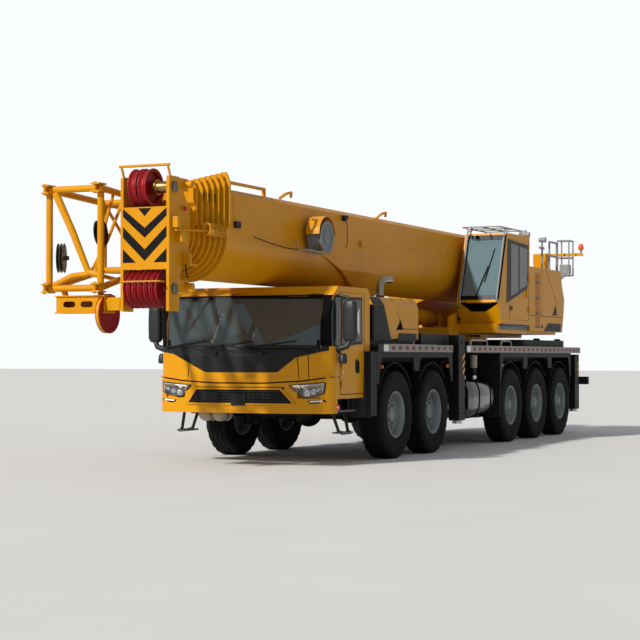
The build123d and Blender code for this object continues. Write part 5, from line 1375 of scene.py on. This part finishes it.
# the collar of each telescope has slotted windows in its sides, where its wear pads are set
for section in range(2, 7):
    name = f"boom_section_{section}"
    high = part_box(name)[1]
    windows, pads = [], []
    for facing in ("+y", "-y"):
        for z_low, z_high in ((2.98, 3.16), (3.34, 3.50), (3.58, 3.72)):
            slot = rectangle(high.x - 0.055, z_low, high.x - 0.020, z_high)
            # painted shade: each slotted window is a black plate for the shade inside it
            windows.append(laid_on(facing, (name,), [slot], 0.002))
        pads.append(laid_on(facing, (name,), [disc_outline(high.x - 0.038, 3.25, 0.014, 10)], 0.008))
    piece(f"{name}_windows", [(hole_black, windows), (steel_wire, pads)], name)


# ---- Boom head, warning chevrons and the rope sheaves
# Two thick side plates joined by cross plates, carrying cast sheaves painted red on bronze-sleeved
# shafts. Black warning bands are painted on its front plate.
HEAD = ("boom_section_7_head",)
# warning enamel: plain dark bands that give the head its bold front
warning_black = sprayed("warning_black_enamel", "#0A0A0A", "#262624", 0.45, dust=0.04, drift=0.03, gloss=0.15)
centre_wedge = [(-0.10, 3.475), (0.10, 3.475), (0.0, 3.37)]
upper_band = [(-0.325, 3.475), (0.0, 3.22), (0.325, 3.475), (0.325, 3.37), (0.0, 3.09), (-0.325, 3.37)]
lower_band = [(-0.325, 3.24), (0.0, 2.94), (0.325, 3.24), (0.325, 3.10), (0.0, 2.79), (-0.325, 3.10)]
corner_mark = [(0.325, 2.95), (0.325, 2.77), (0.13, 2.77)]
chevrons = [
    laid_on("+x", HEAD, [outline], 0.002, 0.002, 2.0)
    for outline in (centre_wedge, upper_band, lower_band, corner_mark, on_side(corner_mark, -1))
]
head_boxes = [
    laid_on("+y", HEAD, [rectangle(*corners)], reach) for corners, reach in (
        ((7.57, 3.22, 7.66, 3.36), 0.09), ((7.42, 3.04, 7.54, 3.17), 0.09), ((7.14, 2.74, 7.36, 2.91), 0.11),
    )
]
PIN_X, PIN_LEVELS, PIN_BOLTS, PIN_BOLT_CIRCLE = 7.59, (3.75, 2.43), 6, 0.055
pins, pin_bolts = [], []
for z in PIN_LEVELS:
    for facing in ("+y", "-y"):
        pins.append(laid_on(facing, HEAD, [disc_outline(PIN_X, z, 0.075)], 0.018))
        for x_bolt, z_bolt in disc_outline(PIN_X, z, PIN_BOLT_CIRCLE, PIN_BOLTS):
            pin_bolts.append(laid_on(facing, HEAD, [disc_outline(x_bolt, z_bolt, 0.009, 6)], 0.026))
red_marker = rod((7.39, 0.40, 3.48), (7.39, 0.435, 3.48), 0.035, 14, 0.028)
sensor_cable = tube([(7.40, 0.43, 2.76), (7.41, 0.44, 2.68), (7.39, 0.44, 2.61), (7.34, 0.42, 2.58)], 0.009, 8)
piece(
    "boom_head_fittings",
    [
        (warning_black, chevrons), (machine_yellow, head_boxes), (steel_wire, pins + pin_bolts),
        (red_lens, [red_marker]), (black_plastic, [sensor_cable]),
    ],
    "boom_section_7", rounding=0.002,
)
# sheave paint: dark red discs that pick the sheaves out of the yellow head
sheave_red = sprayed("dark_red_sheave_paint", "#8A0D14", "#C0505A", 0.40, dust=0.05, gloss=0.25)
# bronze: a warm brown-gold glint at the shafts' ends
brass = chromed("bronze_shaft", "#B78A3C", 0.30)
for name, count, reach in (("upper_sheaves", 2, (-0.205, 0.085)), ("lower_sheaves", 6, (-0.262, 0.242))):
    low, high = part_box(name)
    centre, radius = (low + high) / 2, (high.z - low.z) / 2
    width = (reach[1] - reach[0]) / count
    wheels = []
    for number in range(count):
        y = reach[0] - centre.y + (number + 0.5) * width
        h = width * 0.42
        profile = [
            (0.045, -h), (0.088, -h), (0.092, -0.010), (radius - 0.055, -0.010), (radius - 0.045, -h * 0.75),
            (radius, -h), (radius, -h * 0.80), (radius - 0.032, -h * 0.22), (radius - 0.032, h * 0.22),
            (radius, h * 0.80), (radius, h), (radius - 0.045, h * 0.75), (radius - 0.055, 0.010), (0.092, 0.010),
            (0.088, h), (0.045, h),
        ]
        wheels.append(turned([(r, y + a) for r, a in profile], centre, 56))
    shaft = rod((centre.x, low.y, centre.z), (centre.x, high.y, centre.z), 0.060, 28)
    piece(f"{name}_turned", [(sheave_red, wheels), (brass, [shaft])], name, stands_for=[name])
sleeve = [
    rod((7.59, 0.105, 3.75), (7.59, 0.300, 3.75), 0.078, 32), rod((7.59, 0.095, 3.75), (7.59, 0.125, 3.75), 0.105, 32),
]
keeper = rod((7.852, -0.285, 2.520), (7.852, 0.285, 2.520), 0.011, 12)
keeper_ends = [rod((7.72, y, 2.520), (7.852, y, 2.520), 0.012, 12) for y in (-0.285, 0.285)]
piece("sheave_keeper", [(brass, sleeve), (boom_yellow, [keeper] + keeper_ends)], "boom_section_7")


# ---- Cable reel and the sensor cable to the boom head
# A spring reel of pressed steel pays out the load sensor's cable under a yellow half hood. A row
# of rings leads to the feed rod at the head, and each ring rides on its own telescope.
low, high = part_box("cable_reel")
reel_centre, reel_radius = (low + high) / 2, (high.z - low.z) / 2
reel_half = (high.y - low.y) / 2
REEL_COILS, REEL_FLANGE = 6, 0.03
reel_profile = [
    (0.0, -reel_half), (reel_radius, -reel_half), (reel_radius, -reel_half + 0.008),
    (reel_radius * 0.80, -reel_half + 0.02),
]
for turn in range(REEL_COILS):
    y = -reel_half + REEL_FLANGE + turn * 2 * (reel_half - REEL_FLANGE) / (REEL_COILS - 1)
    reel_profile += [(reel_radius * 0.78, y - 0.008), (reel_radius * 0.80, y)]
reel_profile += [
    (reel_radius * 0.80, reel_half - 0.02), (reel_radius, reel_half - 0.008), (reel_radius, reel_half),
    (reel_radius * 0.74, reel_half), (reel_radius * 0.70, reel_half - 0.012), (0.105, reel_half - 0.012),
    (0.100, reel_half), (0.0, reel_half),
]
hub_ring = turned([(0.040, reel_half - 0.004), (0.098, reel_half - 0.004), (0.094, reel_half - 0.0005),
                   (0.040, reel_half - 0.0005)], reel_centre, 40)
# reel paint: a smooth light grey dish with a soft highlight
reel_grey = sprayed("reel_grey_paint", "#6F7476", "#B0B3B5", 0.38, dust=0.15)
piece(
    "cable_reel_turned",
    [(reel_grey, [turned(reel_profile, reel_centre, 56)]), (chrome, [hub_ring])],
    "cable_reel", stands_for=["cable_reel"],
)
HOOD_STEPS, HOOD_SECTION = 12, rectangle(0.96, 0.645, 1.0, 0.862)
hood_rings = []
for step in range(HOOD_STEPS + 1):
    angle = math.pi * step / HOOD_STEPS
    x, z = 0.30 * math.cos(angle), 0.035 + 0.28 * math.sin(angle)
    hood_rings.append([(reel_centre.x + x * shrink, y, reel_centre.z + z * shrink) for shrink, y in HOOD_SECTION])
guide = [
    tube([(3.92, 0.66, 3.08), (3.92, 0.84, 3.08), (4.47, 0.84, 3.10), (4.47, 0.66, 3.10)], 0.010, 8),
    rod((4.47, 0.66, 3.10), (4.47, 0.66, 3.25), 0.010),
]
piece("reel_hood", [(boom_yellow, [skin(hood_rings)]), (rail_grey, guide)], "boom_base")
# the feed rod: a taut yellow tube at the head, in line with a ring on each telescope's collar
feed_rod = rod((6.98, 0.535, 3.215), (7.64, 0.415, 3.185), 0.014, 12)
fitting = rod((6.80, 0.560, 3.20), (6.97, 0.530, 3.20), 0.045, 18, 0.038)
piece(
    "sensor_feed_rod", [(boom_yellow, [feed_rod]), (chrome, [fitting])], "boom_section_7",
)
RING_TURNS = [2 * math.pi * k / 20 for k in range(21)]
for section in range(2, 8):
    # the head's ring stands just ahead of the sixth collar
    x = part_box(f"boom_section_{min(section, 6)}")[1].x - 0.04 + (0.08 if section == 7 else 0.0)
    rings = [
        tube([(x + place, 0.555 + 0.062 * math.cos(turn), 3.235 + 0.080 * math.sin(turn)) for turn in RING_TURNS],
             0.008, 8)
        for place in (0.0, 0.035)
    ]
    piece(f"sensor_ring_{section}", [(boom_yellow, rings)], f"boom_section_{section}")


# ---- Luffing cylinder
# A honed steel barrel sprayed machine yellow, with a ground and chromed rod, pinned between the
# turntable and the bracket under the boom. Rigid oil pipes are clamped along the barrel.
dress(boom_yellow, "lift_barrel")
dress(ground_chrome, "lift_rod")
foot, eye = Vector((-2.9, 0, 2.25)), Vector((1.08, 0, 2.43))
along = (eye - foot).normalized()
up = Vector((-along.z, 0, along.x))
PIPE_ROUTE = ((0.35, 0.9), (0.45, 1.0), (3.45, 1.0), (3.55, 0.9))  # how far up, and how far out
pipes = []
for y in (-0.06, 0.06):
    offset = up * 0.150 + Vector((0, y, 0))
    pipes.append(tube([foot + along * reach + offset * out for reach, out in PIPE_ROUTE], 0.012, 10))
clamps = [
    rod(foot + along * reach, foot + along * (reach + 0.05), 0.156, 32) for reach in (0.7, 1.4, 2.1, 2.8, 3.4)
]
piece("lift_pipes", [(steel_wire, pipes), (boom_yellow, clamps)], "lift_barrel")


# ---- Stowed lattice jib: forked ends, knee brace, rope spool, hook block and guide sheave
# Welded tube with forked lugs that pin to the boom head, folded along the boom's right side. A
# rope spool and a small block hang in its end frame, over a box with its own guide sheave.
JIB_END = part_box("lattice_jib")[1].x - 0.16
LUG_PLATE, LUG_PIN = 0.022, Vector((0, 0, 0.075))
lugs = []
for y_low, y_high in ((-1.505, -1.40), (-0.74, -0.61)):
    for z in (2.455, 3.765):
        for foot_z in (z - 0.062, z + 0.040):
            lugs.append(box((JIB_END - 0.06, JIB_END + 0.13), (y_low, y_high), (foot_z, foot_z + LUG_PLATE)))
        pin = Vector((JIB_END + 0.09, (y_low + y_high) / 2 - 0.02, z))
        lugs.append(rod(pin - LUG_PIN, pin + LUG_PIN, 0.022, 14))
KNEE = Vector((JIB_END - 0.02, -0.86, 2.66))
braces = [
    tube([(JIB_END, -1.36, 3.72), (JIB_END - 0.01, -1.10, 3.20), KNEE], (0.052, 0.048, 0.042), 14),
    tube([(JIB_END, -1.38, 2.50), (JIB_END - 0.01, -1.10, 2.62), KNEE + Vector((0, 0, -0.02))], 0.038, 14),
    tube([KNEE + Vector((-0.05, 0, 0)), (JIB_END - 0.30, -0.74, 3.10), (JIB_END - 0.60, -0.70, 3.62)], 0.022, 10),
    tube([KNEE + Vector((-0.08, 0.06, 0)), (JIB_END - 0.20, -0.72, 3.30), (JIB_END - 0.35, -0.69, 3.70)], 0.022, 10),
    rod(KNEE, KNEE + Vector((0, 0.20, -0.04)), 0.045, 14), rod(KNEE, KNEE + Vector((-0.8, 0.02, -0.08)), 0.028, 12),
]
SPOOL = Vector((JIB_END - 0.05, -1.30, 2.86))
spool_profile = [
    (0.0, -0.045), (0.196, -0.045), (0.196, -0.036), (0.120, -0.034), (0.120, -0.006), (0.196, -0.005),
    (0.196, 0.005), (0.120, 0.006), (0.120, 0.034), (0.196, 0.036), (0.196, 0.045), (0.0, 0.045),
]
spool_rims = [turned(spool_profile, ORIGIN, 40), rod((0, -0.07, 0), (0, 0.10, 0), 0.030, 16)]
SPOOL_TURN = math.radians(24)  # the spool's bracket holds it a little out of line with the jib
spool_rims = [([
    SPOOL + Vector((a * math.cos(SPOOL_TURN) - b * math.sin(SPOOL_TURN),
                    a * math.sin(SPOOL_TURN) + b * math.cos(SPOOL_TURN), c))
    for a, b, c in points
], faces) for points, faces in spool_rims]
# olive paint: a dull dark green that tells the rope spool from the jib
spool_olive = sprayed("olive_spool_paint", "#3A3A22", "#6A6A40", 0.50, dust=0.20)
BLOCK = Vector((JIB_END - 0.12, -0.735, 3.18))
block_cheeks = []
for y in (-0.035, 0.035):
    points, faces = turned([(0.0, y - 0.010), (0.115, y - 0.010), (0.115, y + 0.010), (0.0, y + 0.010)], ORIGIN, 32)
    block_cheeks.append(([BLOCK + Vector((a + 0.25 * c, b, 1.45 * c)) for a, b, c in points], faces))
block_cheeks.append(turned([(0.02, -0.02), (0.095, -0.02), (0.080, 0.0), (0.095, 0.02), (0.02, 0.02)], BLOCK, 32))
hook = tube([
    BLOCK + Vector((-0.04, 0, -0.16)), BLOCK + Vector((-0.06, 0, -0.24)), BLOCK + Vector((-0.10, 0, -0.29)),
    BLOCK + Vector((-0.05, 0, -0.33)), BLOCK + Vector((0.0, 0, -0.29)),
], (0.020, 0.022, 0.020, 0.014, 0.008), 10)
GUIDE = Vector((7.612, -0.62, 2.118))
guide_sheave = turned([
    (0.0, -0.036), (0.07, -0.036), (0.08, -0.024), (0.205, -0.024), (0.215, -0.034), (0.262, -0.034), (0.252, 0.0),
    (0.262, 0.034), (0.215, 0.034), (0.205, 0.024), (0.08, 0.024), (0.07, 0.036), (0.0, 0.036),
], GUIDE, 48)
box_lips = [box((7.50, 7.785), (-1.335, -0.565), (z - 0.008, z + 0.008)) for z in (2.130, 2.350)]
link = box((7.60, 7.730), (-0.580, -0.365), (2.155, 2.325))
piece(
    "jib_fittings",
    [
        (boom_yellow, lugs + braces + box_lips + [link]), (spool_olive, spool_rims),
        (satin_black, block_cheeks), (machine_yellow, [hook]), (sheave_red, [guide_sheave]),
    ],
    "boom_base", rounding=0.002,
)


# ---- Rear of the carrier: tail lamps
# Moulded black lamp boxes on the rear corners, each with a red and an amber lens of clipped-in
# plastic, hung from the frame on short steel pins.
TAIL_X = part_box("chassis_frame")[0].x
for side, _, sign in SIDES:
    lamp_box = box((TAIL_X + 0.005, TAIL_X + 0.10), (1.30, 1.62), (0.98, 1.14), sign)
    red, amber = [
        box((TAIL_X + 0.001, TAIL_X + 0.02), span, (1.00, 1.12), sign) for span in ((1.48, 1.60), (1.34, 1.45))
    ]
    hanger = rod((TAIL_X + 0.06, sign * 1.36, 1.05), (TAIL_X + 0.20, sign * 1.36, 1.05), 0.025, 10)
    piece(
        f"tail_lamp_{side}",
        [(black_plastic, [lamp_box, hanger]), (red_lens, [red]), (amber_lens, [amber])],
        "chassis", rounding=0.004,
    )


# ---- Studio: a pale floor, a bright even sky and one broad sun from ahead of the machine
# A studio cove of matt white paper, lit so that the machine's front is bright and its left side
# lies in open shade, as a crane parked facing the sun looks.

# cove paper: a flat near-white that takes soft shadows under the wheels
cove_white = bpy.data.materials.new("matt_white_cove")
cove_white.use_nodes = True
tree = cove_white.node_tree
place = node(tree, "ShaderNodeTexCoord")
mottle = node(tree, "ShaderNodeTexNoise", {"Scale": 0.6, "Detail": 2.0}, {"Vector": place.outputs["Object"]})
tone = node(
    tree, "ShaderNodeMix", {"data_type": "RGBA", 6: colour("#CDCECE"), 7: colour("#D6D6D5")},
    {0: mottle.outputs["Fac"]},
)
tree.links.new(tone.outputs[2], tree.nodes["Principled BSDF"].inputs["Base Color"])
tree.nodes["Principled BSDF"].inputs["Roughness"].default_value = 0.9
FLOOR_REACH = 160.0
floor = mesh_object("studio_floor", [(cove_white, [(
    [(a, b, 0) for a, b in rectangle(-FLOOR_REACH, -FLOOR_REACH, FLOOR_REACH, FLOOR_REACH)], [(0, 1, 2, 3)])])])

SUN_FROM = Vector((0.86, -0.30, 0.62))
sun = bpy.data.lights.new("sun", "SUN")
sun.energy = 3.7
sun.angle = math.radians(3.0)
sun.color = (1.0, 0.96, 0.90)
sun_lamp = bpy.data.objects.new("sun", sun)
sun_lamp.rotation_euler = SUN_FROM.to_track_quat("Z", "Y").to_euler()
bpy.context.collection.objects.link(sun_lamp)
world = bpy.data.worlds.new("bright_sky")
world.use_nodes = True
world.node_tree.nodes["Background"].inputs["Color"].default_value = (0.95, 0.97, 1.0, 1.0)
sky_place = node(world.node_tree, "ShaderNodeTexCoord")
sky_height = node(world.node_tree, "ShaderNodeSeparateXYZ", (), {"Vector": sky_place.outputs["Generated"]})
# a lit paper backdrop stands behind the machine and fades out to the studio's grey walls
sky_towards = node(
    world.node_tree, "ShaderNodeVectorMath", {"operation": "DOT_PRODUCT", 1: (-0.911, -0.412, 0.0)},
    {0: sky_place.outputs["Generated"]},
)
sky_side = node(
    world.node_tree, "ShaderNodeMapRange", {"From Min": 0.72, "From Max": 0.93, "To Max": 0.62},
    {"Value": sky_towards.outputs["Value"]},
)
sky_glow = node(
    world.node_tree, "ShaderNodeMapRange",
    {"From Min": 0.25, "From Max": 0.50, "To Min": 1.0, "To Max": 0.0},
    {"Value": sky_height.outputs["Z"]},
)
sky_patch = node(
    world.node_tree, "ShaderNodeMath", {"operation": "MULTIPLY"},
    {0: sky_side.outputs["Result"], 1: sky_glow.outputs["Result"]},
)
sky_light = node(
    world.node_tree, "ShaderNodeMath", {"operation": "ADD", 1: 0.40}, {0: sky_patch.outputs[0]}
)
world.node_tree.links.new(sky_light.outputs[0], world.node_tree.nodes["Background"].inputs["Strength"])
bpy.context.scene.world = world
bpy.context.scene.view_settings.view_transform = "Standard"


# ---- Camera
# It stands about 29 m from the machine's middle, off its front left corner, at eye height and
# with a long lens, so near and far parts keep nearly one scale.
CAMERA_YAW, CAMERA_PITCH = math.radians(24.35), math.radians(1.24)
camera = bpy.data.cameras.new("camera")
camera.lens = 95.7
camera.sensor_width = 36.0
camera.clip_end = 500.0
viewer = bpy.data.objects.new("camera", camera)
viewer.location = (26.8115, 11.1306, 1.5503)
looking = Vector((
    -math.cos(CAMERA_YAW) * math.cos(CAMERA_PITCH), -math.sin(CAMERA_YAW) * math.cos(CAMERA_PITCH),
    math.sin(CAMERA_PITCH),
))
viewer.rotation_euler = looking.to_track_quat("-Z", "Y").to_euler()
bpy.context.collection.objects.link(viewer)
bpy.context.scene.camera = viewer
